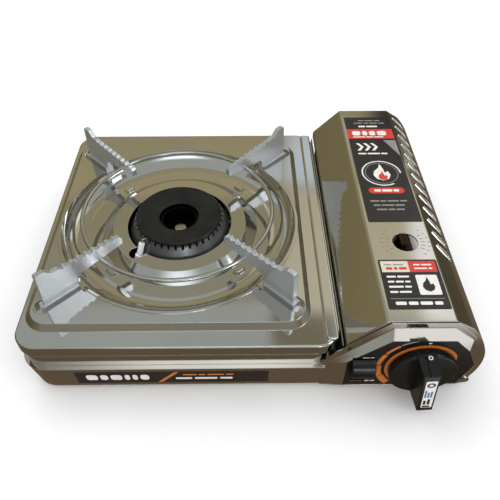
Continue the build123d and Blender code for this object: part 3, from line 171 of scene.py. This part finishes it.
cap_coat = new_material("cap_enamel", (0.008, 0.008, 0.0085), 0.34, Specular_IOR_Level=0.3)
vary_color(cap_coat, noise(cap_coat, 60, 5), (0.006, 0.006, 0.0065), (0.012, 0.0115, 0.011))
vary_roughness(cap_coat, noise(cap_coat, 120, 5), 0.28, 0.4)
surface(cap_coat, 0.6 * MM, noise(cap_coat, 700, 3), 0.12, 0.0004)

aluminium = new_material("cast_aluminium", (0.5, 0.5, 0.5), 0.32, 1.0)
vary_color(aluminium, noise(aluminium, 90, 5), (0.4, 0.4, 0.4), (0.56, 0.56, 0.56))
vary_roughness(aluminium, noise(aluminium, 150, 5), 0.25, 0.4)
surface(aluminium, 0.5 * MM, noise(aluminium, 600, 4), 0.15, 0.0005)

# the cast burner by distance from its axis: grey hub, black funnel (painted shade of the deep hole
# under the cap), dark grey outside
CAST_REACH = 0.05  # the ramp's full length, m
HUB_GREY = (0.3, 0.3, 0.3)
# painted shade: the funnel round the hub is coloured black for the shade deep in the hole
FUNNEL_SHADE = (0.008, 0.008, 0.009)
CAST_GREY = (0.2, 0.205, 0.21)
burner_cast = new_material("burner_cast", CAST_GREY, 0.34, 0.9)
vary_roughness(burner_cast, noise(burner_cast, 150, 5), 0.28, 0.42)
surface(burner_cast, 0.5 * MM, noise(burner_cast, 600, 4), 0.12, 0.0005)
cast_tree = burner_cast.node_tree
place = cast_tree.nodes.new("ShaderNodeNewGeometry")
level_place = cast_tree.nodes.new("ShaderNodeVectorMath")
level_place.operation = "MULTIPLY"
level_place.inputs[1].default_value = (1, 1, 0)
cast_tree.links.new(place.outputs["Position"], level_place.inputs[0])
from_axis = cast_tree.nodes.new("ShaderNodeVectorMath")
from_axis.operation = "DISTANCE"
from_axis.inputs[1].default_value = (BURNER[0], BURNER[1], 0)
cast_tree.links.new(level_place.outputs["Vector"], from_axis.inputs[0])
color_from(
    burner_cast,
    math_node(cast_tree, "DIVIDE", from_axis.outputs["Value"], CAST_REACH),
    ((0.0, HUB_GREY), (0.09, HUB_GREY), (0.13, FUNNEL_SHADE), (0.38, FUNNEL_SHADE), (0.4, CAST_GREY)),
)

ceramic = new_material("ceramic", (0.86, 0.87, 0.86), 0.25)
vary_color(ceramic, noise(ceramic, 200, 3), (0.82, 0.83, 0.82), (0.9, 0.91, 0.9))
surface(ceramic, 0.4 * MM, noise(ceramic, 500, 2), 0.1, 0.0003)

wire = new_material("wire_steel", (0.6, 0.6, 0.6), 0.16, 1.0)
vary_roughness(wire, noise(wire, 200, 3), 0.12, 0.22)

plastic = new_material("black_plastic", (0.006, 0.006, 0.006), 0.24, Specular_IOR_Level=0.4)
vary_roughness(plastic, noise(plastic, 90, 5), 0.18, 0.3)
surface(plastic, 0.7 * MM, noise(plastic, 1800, 2), 0.12, 0.0002)

panel_paint = new_material("panel_black", (0.01, 0.009, 0.008), 0.3, Specular_IOR_Level=0.35)
vary_roughness(panel_paint, noise(panel_paint, 80, 4), 0.25, 0.36)

brass = new_material("brass", (0.62, 0.42, 0.16), 0.28, 1.0)
vary_roughness(brass, noise(brass, 120, 4), 0.22, 0.36)
surface(brass, 0.3 * MM, noise(brass, 400, 2), 0.05, 0.0003)

rubber = new_material("rubber", (0.02, 0.02, 0.02), 0.8)
vary_color(rubber, noise(rubber, 150, 4), (0.015, 0.015, 0.015), (0.03, 0.03, 0.03))
surface(rubber, 0.4 * MM, noise(rubber, 500, 3), 0.3, 0.0004)

# painted shade: the lead is near-black so that where it shows in the gap between the cover and the
# arch it reads as the gap's shade
lead = new_material("lead_cover", (0.05, 0.05, 0.052), 0.4)
vary_color(lead, noise(lead, 150, 3), (0.04, 0.04, 0.042), (0.06, 0.06, 0.062))
surface(lead, 0.0, noise(lead, 400, 2), 0.1, 0.0003)


def print_ink(name, color, roughness):
    """Printed film: a faint mottle of the ink and a slightly uneven gloss."""
    material = new_material(name, color, roughness)
    vary_color(material, noise(material, 220, 4), tuple(0.9 * c for c in color), color)
    vary_roughness(material, noise(material, 70, 4), roughness - 0.05, roughness + 0.07)
    return material


black_ink = print_ink("ink_black", (0.016, 0.014, 0.013), 0.28)
red_ink = print_ink("ink_red", (0.62, 0.035, 0.022), 0.3)
white_ink = print_ink("ink_white", (0.78, 0.77, 0.74), 0.35)
grey_ink = print_ink("ink_grey", (0.26, 0.25, 0.24), 0.35)
cream_ink = print_ink("ink_cream", (0.66, 0.6, 0.48), 0.35)
blue_ink = print_ink("ink_blue", (0.05, 0.14, 0.42), 0.34)
orange_ink = print_ink("ink_orange", (0.6, 0.17, 0.022), 0.34)
etch = new_material("etched_steel", (0.42, 0.4, 0.36), 0.42, 0.9)
vary_roughness(etch, noise(etch, 300, 4), 0.36, 0.5)

BY_SLOT = {
    "polished_steel": steel,
    "pressed_steel": plain_steel,
    "arm_enamel": arm_coat,
    "cap_enamel": cap_coat,
    "cast_aluminium": aluminium,
    "ceramic": ceramic,
    "wire_steel": wire,
    "black_plastic": plastic,
    "brass": brass,
    "rubber": rubber,
    "lead_cover": lead,
}
BY_NODE = {
    "body_shell": shell_steel,
    "cartridge_cover": cover_steel,
    "control_panel": panel_paint,
    "burner_body": burner_cast,
}
slot_of = {s["node"]: s["material_slot"] for s in frame["record"]["subparts"]}
for name, obj in frame["nodes"].items():
    obj.data.materials.clear()
    obj.data.materials.append(BY_NODE.get(name, BY_SLOT[slot_of[name]]))

# ---- printed and stuck-on pieces ------------------------------------------------------------

FILM = 0.04  # thickness of one printed layer, mm
FILM_GAP = 0.02  # between the plane and the first layer, mm
CORNER_STEPS = 5
DISC_SIDES = 48
ARC_STEP = 4  # degrees
RIGHT, BACKWARD, UP = (1, 0, 0), (0, 1, 0), (0, 0, 1)


class Print:
    """Flat shapes laid on a plane of the object, one thin layer over another; sizes in mm."""

    def __init__(self, name, body, slot, origin, right, up, film=FILM):
        self.name, self.body, self.slot, self.film = name, body, slot, film
        self.origin = Vector(origin)
        self.right, self.up = Vector(right).normalized(), Vector(up).normalized()
        self.out = self.right.cross(self.up)
        self.mesh = bmesh.new()
        self.materials = []

    def shape(self, points, material, layer=1):
        if material not in self.materials:
            self.materials.append(material)
        lift = (FILM_GAP + self.film * (layer - 1)) * MM
        top = (FILM_GAP + self.film * layer) * MM
        spots = [self.origin + (self.right * u + self.up * v) * MM for u, v in points]
        low = [self.mesh.verts.new(spot + self.out * lift) for spot in spots]
        high = [self.mesh.verts.new(spot + self.out * top) for spot in spots]
        faces = [self.mesh.faces.new(high), self.mesh.faces.new(low[::-1])]
        for i in range(len(points)):
            j = (i + 1) % len(points)
            faces.append(self.mesh.faces.new((low[i], low[j], high[j], high[i])))
        for face in faces:
            face.material_index = self.materials.index(material)

    def bar(self, u0, v0, u1, v1, material, layer=1, corner=0.0, turn=0.0):
        """A rectangle with corners of that radius, turned about its middle by turn degrees."""
        points = []
        corner = min(corner, (u1 - u0) / 2, (v1 - v0) / 2)
        steps = CORNER_STEPS if corner else 0
        for cu, cv, start in ((u1, v1, 0), (u0, v1, 90), (u0, v0, 180), (u1, v0, 270)):
            u = cu - corner * (1 if cu == u1 else -1)
            v = cv - corner * (1 if cv == v1 else -1)
            for step in range(steps + 1):
                angle = math.radians(start + (90 * step / steps if steps else 45))
                points.append((u + corner * math.cos(angle), v + corner * math.sin(angle)))
        if turn:
            mid_u, mid_v = (u0 + u1) / 2, (v0 + v1) / 2
            c, s = math.cos(math.radians(turn)), math.sin(math.radians(turn))
            points = [
                (mid_u + (u - mid_u) * c - (v - mid_v) * s, mid_v + (u - mid_u) * s + (v - mid_v) * c)
                for u, v in points
            ]
        self.shape(points, material, layer)

    def disc(self, u, v, radius, material, layer=1):
        angles = [2 * math.pi * i / DISC_SIDES for i in range(DISC_SIDES)]
        points = [(u + radius * math.cos(a), v + radius * math.sin(a)) for a in angles]
        self.shape(points, material, layer)

    def arc(self, u, v, inner, outer, start, end, material, layer=1, pointed=0.0):
        """A band round a centre; pointed is the share of its length over which it thins out."""
        steps = max(4, int(abs(end - start) / ARC_STEP))
        rows = []
        for step in range(steps + 1):
            share = step / steps
            angle = math.radians(start + (end - start) * share)
            rim = outer
            if pointed and share > 1 - pointed:
                rim += (inner - outer) * 0.9 * (share - 1 + pointed) / pointed
            rows.append([(u + r * math.cos(angle), v + r * math.sin(angle)) for r in (inner, rim)])
        # a full ring is laid in two halves, so that its outline doesn't meet itself
        middle = steps // 2
        full = abs(end - start) >= 360
        for part in (rows[: middle + 1], rows[middle:]) if full else (rows,):
            outline = [near for near, _ in part] + [far for _, far in reversed(part)]
            self.shape(outline if end < start else outline[::-1], material, layer)

    def finish(self):
        data = bpy.data.meshes.new(self.name)
        bmesh.ops.remove_doubles(self.mesh, verts=self.mesh.verts, dist=1e-7)
        bmesh.ops.recalc_face_normals(self.mesh, faces=self.mesh.faces)
        self.mesh.to_mesh(data)
        self.mesh.free()
        for material in self.materials:
            data.materials.append(material)
        obj = bpy.data.objects.new(self.name, data)
        bpy.context.scene.collection.objects.link(obj)
        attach(obj, self.body)


def words(sheet, u, v, sizes, height, material, layer, gap=1.1):
    """A line of plain bars that stands where small lettering would be."""
    for width in sizes:
        sheet.bar(u, v, u + width, v + height, material, layer, height * 0.3)
        u += width + gap


FLAME = (
    (0.0, 0.62), (-0.08, 0.36), (-0.3, 0.12), (-0.36, -0.14), (-0.26, -0.38), (0.0, -0.5),
    (0.26, -0.38), (0.36, -0.12), (0.28, 0.12), (0.14, 0.02), (0.1, 0.3),
)
CHEVRON = ((6, 101), (9, 101), (13, 107), (9, 113), (6, 113), (10, 107))


def flame(sheet, u, v, size, material, layer):
    sheet.shape([(u + size * x, v + size * y) for x, y in FLAME], material, layer)


LABEL_X = 281
LABEL_W = 46


def cover_print(name, x, y):
    return Print(name, "cover", "polished_steel", at(x, y, COVER_TOP), RIGHT, BACKWARD)


# long label on the cover: red band, bars, a flame in a ring
upper = cover_print("cover_label_long", LABEL_X, 103)
upper.bar(0, 0, LABEL_W, 159, black_ink, 1, 1.5)
words(upper, 14, 152, (6, 9, 5), 1.6, grey_ink, 2)
words(upper, 9, 147.5, (9, 5, 8, 6), 1.6, grey_ink, 2)
words(upper, 13, 141, (7, 11), 2.6, white_ink, 2)
upper.bar(0, 121, LABEL_W, 137.5, red_ink, 2)
words(upper, 5, 126.5, (8, 5, 6, 9), 7.5, white_ink, 3, 2.0)
words(upper, 5, 123, (12, 7, 9), 1.5, white_ink, 3)
upper.shape([(LABEL_W, 118), (34, 118), (LABEL_W, 92)], grey_ink, 2)
for step in range(3):
    upper.shape([(u + 7 * step, v) for u, v in CHEVRON], white_ink, 2)
words(upper, 6, 95, (8, 12, 6), 2.2, white_ink, 2)
upper.arc(23, 66, 17.0, 18.3, 0, 300, white_ink, 2)
upper.arc(23, 66, 14.6, 15.2, 0, 360, grey_ink, 2)
flame(upper, 23, 66, 22, white_ink, 3)
flame(upper, 23.5, 61.5, 12, red_ink, 4)
upper.bar(7, 37, 39, 45, red_ink, 3, 3.9)
words(upper, 12, 39.4, (6, 9, 5), 3.2, white_ink, 4)
words(upper, 6, 26, (8, 5, 10, 6), 1.7, grey_ink, 2)
words(upper, 8, 20.5, (6, 11, 8), 1.7, grey_ink, 2)
words(upper, 10, 15, (9, 6, 7), 1.7, grey_ink, 2)
upper.finish()

# short label in front of the window
lower = cover_print("cover_label_short", LABEL_X, 11)
lower.bar(0, 0, LABEL_W, 49, black_ink, 1, 1.5)
lower.bar(1.6, 36, 23, 47.4, cream_ink, 2)
lower.bar(23, 36, 44.4, 47.4, red_ink, 2)
words(lower, 4, 43, (6, 8), 1.3, grey_ink, 3)
words(lower, 5, 38.5, (5, 3, 6), 2.6, red_ink, 3)
words(lower, 27, 42.8, (5, 8), 1.4, white_ink, 3)
words(lower, 27, 39, (10, 3), 1.4, white_ink, 3)
for v, widths in ((30.5, (7, 9)), (25.5, (5, 6, 4)), (20.5, (11, 5)), (15.5, (6, 9))):
    words(lower, 4, v, widths, 1.8, white_ink, 3)
lower.bar(26, 13.5, 42.5, 33, white_ink, 2, 1.0)
flame(lower, 34.2, 23, 13, black_ink, 3)
lower.bar(3, 9.8, 43, 10.3, grey_ink, 2)
words(lower, 6, 4.2, (8, 7, 9, 6), 3.0, white_ink, 3, 1.6)
lower.finish()

# faint etched rays on both sides of the window
RAY_HALF_WIDTH = 0.35
etched = cover_print("window_etching", 307, 79.4)
for side in (0, 180):
    for step in range(-3, 4):
        for reach, length in ((14.5, 3.4), (19.0, 2.2)):
            turn = side + 15 * step
            u, v = reach * math.cos(math.radians(turn)), reach * math.sin(math.radians(turn))
            if abs(u) < 12:
                continue
            low, high = (u - length / 2, v - RAY_HALF_WIDTH), (u + length / 2, v + RAY_HALF_WIDTH)
            etched.bar(*low, *high, etch, 1, 0.3, turn)
etched.finish()

# long strip on the front wall, which leans back by 3 mm over its 28 mm
FRONT_LEAN = 3.0 / 28.0
STRIP_LOW = 4  # the strip's lower edge
WALL = at(0, -STRIP_LOW * FRONT_LEAN - FILM_GAP, STRIP_LOW)
strip = Print("front_strip", "body", "polished_steel", WALL, RIGHT, (0, -FRONT_LEAN, 1))
strip.bar(42, 0, 195, 19.5, black_ink, 1, 1.2)
words(strip, 50, 5.5, (9, 6, 9, 4, 4, 7), 9, white_ink, 2, 2.2)
strip.shape([(106, 1), (109.5, 1), (124, 18.5), (120.5, 18.5)], orange_ink, 2)
words(strip, 127, 13, (11, 5, 13, 6), 2.2, orange_ink, 2, 1.8)
words(strip, 121, 6, (13, 18, 10), 3.2, white_ink, 2, 2.2)
strip.finish()

# trim that closes the joint between the arch and the cover's front end, in front of the cover's
# flange: x, z and how far the trim reaches outwards from the arch's edge
ARCH_EDGE = (
    (238.5, 31.0, 2.5), (250, 42.8, 5.2), (283.4, 77.0, 5.0),
    (329.0, 77.0, 4.6), (346.6, 61.4, 1.6), (355.6, 40.0, 0.6),
)
TRIM_UNDER = 1.4  # how far the trim reaches behind the arch
TRIM_T = 0.6
trim = Print("arch_trim", "body", "polished_steel", at(0, 0, 0), RIGHT, UP, TRIM_T)
outward = []
for (x0, z0, _), (x1, z1, _) in zip(ARCH_EDGE, ARCH_EDGE[1:]):
    run = math.hypot(x1 - x0, z1 - z0)
    outward.append(Vector((-(z1 - z0) / run, (x1 - x0) / run)))
rim = []
for i, (x, z, reach) in enumerate(ARCH_EDGE):
    before, after = outward[max(i - 1, 0)], outward[min(i, len(outward) - 1)]
    mitre = (before + after) / (1 + before.dot(after))
    rim.append((Vector((x, z)) - mitre * TRIM_UNDER, Vector((x, z)) + mitre * reach))
trim.shape([low for low, _ in rim] + [high for _, high in reversed(rim)], shell_steel)
trim.finish()

# dial round the knob, on the control panel: a pointed band, and segments that get thinner
KNOB_X, KNOB_Z = 313, 30
PANEL_Y = -3.42
SEGMENT_RIM = 35.6
DIM_FROM = 0.7  # from this share of the way on, the segments are grey
DIAL = at(KNOB_X, PANEL_Y, KNOB_Z)
dial = Print("dial_print", "body", "black_plastic", DIAL, RIGHT, UP)
dial.arc(0, 0, 24.5, 28.2, 217, 4, orange_ink, 1, 0.12)
for start, end in ((226, 205), (204, 178), (176, 152), (150, 128), (126, 104)):
    share = (226 - start) / 122
    thickness = 5.6 * (1 - share) + 0.5 * share
    ink = orange_ink if share < DIM_FROM else grey_ink
    dial.arc(0, 0, SEGMENT_RIM - thickness, SEGMENT_RIM, start, end, ink)
dial.finish()
marks = Print("panel_marks", "body", "black_plastic", DIAL, RIGHT, UP)
words(marks, -47, 11.5, (5, 3), 1.2, white_ink, 1, 0.8)
words(marks, -41, -21.8, (4, 3.4), 1.2, white_ink, 1, 0.8)
marks.bar(-53, -21.5, -43, -21.1, grey_ink)
marks.shape([(-1.6, 31.5), (1.6, 31.5), (0, 29.6)], white_ink)
marks.finish()

# sticker on the front of the knob's bar, and an index mark on the bar's upper end
LEAN = math.radians(6.0)  # the bar's upper end leans to the left
BAR_FRONT = -28.0
BAR_RIGHT = (math.cos(LEAN), 0, math.sin(LEAN))
BAR_UP = (-math.sin(LEAN), 0, math.cos(LEAN))
sticker = Print(
    "knob_sticker", "knob", "black_plastic", at(KNOB_X, BAR_FRONT, KNOB_Z), BAR_RIGHT, BAR_UP
)
sticker.bar(-3.7, -20.0, 4.5, 19.0, white_ink, 1, 1.0)
sticker.disc(0.4, 13.4, 3.2, black_ink, 2)
sticker.disc(0.4, 13.4, 1.5, white_ink, 3)
for step, length in enumerate((10.4, 7.6, 9.0)):
    u = -2.9 + 2.2 * step
    sticker.bar(u, -4.6, u + 1.4, -4.6 + length, blue_ink, 2, 0.3)
for step, length in enumerate((6.4, 8.2)):
    u = -2.7 + 3.0 * step
    sticker.bar(u, -15.4, u + 2.0, -15.4 + length, black_ink, 2, 0.3)
sticker.bar(-2.9, -19.4, 2.9, -17.0, black_ink, 2, 0.3)
sticker.finish()
BAR_END = 25.56  # the bar's upper end, above the knob's middle
END_SLOPE = 0.036
END_AT = at(KNOB_X - BAR_END * math.sin(LEAN), -12.0, KNOB_Z + BAR_END * math.cos(LEAN))
END_BACK = (END_SLOPE * math.sin(LEAN), 1, END_SLOPE * math.cos(LEAN))
mark = Print("knob_index", "knob", "black_plastic", END_AT, BAR_RIGHT, END_BACK)
mark.bar(0.4, -2.2, 3.6, 1.2, white_ink, 1, 1.2)
mark.bar(1.2, -1.4, 2.8, 0.4, black_ink, 2, 0.6)
mark.finish()

# ---- stage, light and camera ----------------------------------------------------------------

FLOOR_SIZE = 8.0
bpy.ops.mesh.primitive_plane_add(size=FLOOR_SIZE, location=(0, 0, 0))
floor = bpy.context.object
floor.name = "floor"
floor_paint = new_material("floor_paint", (0.93, 0.93, 0.93), 0.9, Specular_IOR_Level=0.0)
floor.data.materials.append(floor_paint)

# white for the camera, in reflections and through what is clear, and as light on the object
world = bpy.data.worlds.new("studio")
bpy.context.scene.world = world
world.use_nodes = True
studio = world.node_tree
background = studio.nodes["Background"]
path = studio.nodes.new("ShaderNodeLightPath")
backdrop = studio.nodes.new("ShaderNodeMix")
backdrop.data_type = "RGBA"
backdrop.inputs["A"].default_value = (1, 1, 1, 1)
backdrop.inputs["B"].default_value = (1, 1, 1, 1)
seen = path.outputs["Is Camera Ray"]
for ray in ("Is Glossy Ray", "Is Transmission Ray"):
    seen = math_node(studio, "MAXIMUM", seen, path.outputs[ray])
studio.links.new(seen, backdrop.inputs["Factor"])
studio.links.new(backdrop.outputs["Result"], background.inputs["Color"])
background.inputs["Strength"].default_value = 1.0


def card(name, corners, color, other=None, soft=0.0):
    """A studio card that only shows in the polished sheet.

    It has four corners and one colour, or a fade to another. soft is the share of the card over
    which each edge fades out.
    """
    data = bpy.data.meshes.new(name)
    data.from_pydata([Vector(c) for c in corners], [], [(0, 1, 2, 3)])
    layer = data.uv_layers.new(name="card")
    for loop, spot in zip(layer.data, ((0, 0), (1, 0), (1, 1), (0, 1))):
        loop.uv = spot
    obj = bpy.data.objects.new(name, data)
    bpy.context.scene.collection.objects.link(obj)
    material = bpy.data.materials.new(name)
    material.use_nodes = True
    tree = material.node_tree
    tree.nodes.clear()
    glow = tree.nodes.new("ShaderNodeEmission")
    glow.inputs["Color"].default_value = (*color, 1)
    out = tree.nodes.new("ShaderNodeOutputMaterial")
    coords = tree.nodes.new("ShaderNodeTexCoord")
    split = tree.nodes.new("ShaderNodeSeparateXYZ")
    tree.links.new(coords.outputs["UV"], split.inputs["Vector"])
    if other:
        fade = tree.nodes.new("ShaderNodeMix")
        fade.data_type = "RGBA"
        fade.inputs["A"].default_value = (*color, 1)
        fade.inputs["B"].default_value = (*other, 1)
        tree.links.new(split.outputs["Y"], fade.inputs["Factor"])
        tree.links.new(fade.outputs["Result"], glow.inputs["Color"])
    shown = None
    for axis in ("X", "Y") if soft else ():
        for edge, inner in ((0.0, soft), (1.0, 1.0 - soft)):
            rise = tree.nodes.new("ShaderNodeMapRange")
            rise.interpolation_type = "SMOOTHSTEP"
            rise.inputs["From Min"].default_value = edge
            rise.inputs["From Max"].default_value = inner
            tree.links.new(split.outputs[axis], rise.inputs["Value"])
            step = rise.outputs["Result"]
            shown = math_node(tree, "MULTIPLY", shown, step) if shown else step
    if shown:
        clear = tree.nodes.new("ShaderNodeBsdfTransparent")
        mix = tree.nodes.new("ShaderNodeMixShader")
        tree.links.new(shown, mix.inputs["Fac"])
        tree.links.new(clear.outputs[0], mix.inputs[1])
        tree.links.new(glow.outputs[0], mix.inputs[2])
        tree.links.new(mix.outputs[0], out.inputs["Surface"])
    else:
        tree.links.new(glow.outputs[0], out.inputs["Surface"])
    data.materials.append(material)
    obj.visible_camera = False
    obj.visible_diffuse = False
    obj.visible_transmission = False
    obj.visible_shadow = False


def level_card(name, x0, x1, y0, y1, z, color, other=None, soft=0.0):
    """A card that lies level, over or under the stove."""
    card(name, ((x0, y0, z), (x1, y0, z), (x1, y1, z), (x0, y1, z)), color, other, soft)


def upright_card(name, azimuth, width, low, high, distance, color, other=None, soft=0.0):
    """A card standing at a compass angle (0 = behind the stove, 90 = right of it)."""
    a = math.radians(azimuth)
    centre = Vector((math.sin(a), math.cos(a), 0)) * distance
    side = Vector((math.cos(a), -math.sin(a), 0)) * width / 2
    low, high = Vector((0, 0, low)), Vector((0, 0, high))
    corners = (centre - side + low, centre + side + low, centre + side + high, centre - side + high)
    card(name, corners, color, other, soft)


ROOM = 3.0
CEILING = 2.6
CEILING_END = 1.9
HANG = 2.5  # cards that hang under the ceiling
CEILING_GREY = (0.44, 0.48, 0.46)
level_card("ceiling", -ROOM, ROOM, -ROOM, CEILING_END, CEILING, CEILING_GREY)
level_card(
    "ceiling_back", -ROOM, ROOM, CEILING_END, ROOM, CEILING, (0.36, 0.35, 0.28), (0.36, 0.32, 0.2)
)
card(
    "ceiling_beige",
    ((0.05, 1.75, HANG), (1.9, 1.4, HANG), (2.3, 3.0, HANG), (0.25, 3.0, HANG)),
    (0.66, 0.63, 0.5),
    (0.62, 0.56, 0.4),
    0.1,
)
level_card("ceiling_beam", 0.1, 0.6, 1.1, 1.85, 2.52, (0.24, 0.21, 0.15), None, 0.2)
card(
    "ceiling_window",
    ((1.0, 1.5, 2.45), (1.9, 1.3, 2.45), (2.1, 2.7, 2.45), (1.15, 2.8, 2.45)),
    (1.15, 1.18, 1.2),
    None,
    0.15,
)
upright_card("back_wall", 0, 6, 0.0, CEILING, ROOM, (0.22, 0.2, 0.125), (0.46, 0.41, 0.26))
upright_card("back_window", 10, 0.6, 1.75, 2.5, 2.9, (0.66, 0.76, 0.86), None, 0.3)
upright_card("right_window", 29, 0.75, 1.3, 2.5, 3.0, (0.95, 1.0, 1.0), None, 0.2)
upright_card("left_wall", -90, 6, 0.0, CEILING, ROOM, (0.12, 0.105, 0.06), (0.3, 0.27, 0.18))
upright_card("left_back_shade", -47, 2.4, 0.0, 1.3, 2.8, (0.17, 0.147, 0.076), (0.34, 0.3, 0.17))
upright_card("right_wall", 90, 6, 0.0, CEILING, ROOM, (0.09, 0.08, 0.05), (0.3, 0.27, 0.19))
upright_card("right_gap", 40.5, 0.22, -0.2, 1.4, 2.7, (0.98, 0.95, 0.8), None, 0.2)
upright_card("right_light", 108, 1.6, 1.1, 3.0, 2.1, (4.6, 4.9, 5.3), None, 0.25)
upright_card("front_wall", 180, 6, 0.0, CEILING, ROOM, (0.2, 0.17, 0.12), (0.3, 0.29, 0.24))
upright_card("front_window", 172, 2.8, -0.3, 1.1, 2.8, (1.15, 1.2, 1.25), None, 0.15)
level_card("front_skylight", -1.4, 1.1, -2.5, -0.8, HANG, (1.9, 2.1, 2.3), None, 0.45)
card(
    "dark_flag",
    ((0.22, 0.6, 0.03), (0.64, 0.6, 0.03), (0.64, 0.6, 0.5), (0.22, 0.6, 0.5)),
    (0.06, 0.058, 0.05),
    None,
    0.15,
)
level_card("table_glow", 0.1, 0.6, -0.65, -0.16, 0.0004, (1.15, 1.18, 1.22), None, 0.1)
level_card("table_grey", -0.1, 0.14, -0.65, -0.2, 0.0003, (0.42, 0.45, 0.43), None, 0.1)
upright_card("low_window", 166, 0.6, 0.12, 0.6, 2.5, (7.0, 7.5, 8.4), None, 0.3)
level_card("table", -ROOM, ROOM, -ROOM, ROOM, 0.0002, (0.15, 0.112, 0.075))


def soft_light(name, place, size, power):
    """A lamp over the table that points at the stove and doesn't show in the polished sheet."""
    lamp = bpy.data.lights.new(name, "AREA")
    lamp.shape = "RECTANGLE"
    lamp.size, lamp.size_y = size
    lamp.energy = power
    obj = bpy.data.objects.new(name, lamp)
    bpy.context.scene.collection.objects.link(obj)
    obj.location = place
    obj.rotation_euler = (-Vector(place)).to_track_quat("-Z", "Y").to_euler()
    obj.visible_glossy = False


soft_light("key", (-0.5, 0.6, 1.5), (0.9, 0.7), 5)
soft_light("fill", (0.9, -0.9, 1.3), (0.7, 0.9), 4)

# the photo's camera, solved from the stove's straight edges and circles; angles in radians
CAMERA_AT = at(177.51, -224.81, 393.95)
PITCH = 0.8090
YAW = -0.012
ROLL = -0.001
FOCAL_PX = 537.43
PICTURE_PX = 500
SENSOR = 36.0
camera = bpy.data.cameras.new("camera")
camera.sensor_width = SENSOR
camera.lens = FOCAL_PX * SENSOR / PICTURE_PX
camera_obj = bpy.data.objects.new("camera", camera)
bpy.context.scene.collection.objects.link(camera_obj)
camera_obj.location = CAMERA_AT
aim = Matrix.Rotation(YAW, 3, "Z") @ Matrix.Rotation(math.pi / 2 - PITCH, 3, "X")
camera_obj.rotation_euler = (aim @ Matrix.Rotation(-ROLL, 3, "Z")).to_euler()
bpy.context.scene.camera = camera_obj
bpy.context.scene.view_settings.view_transform = "Standard"
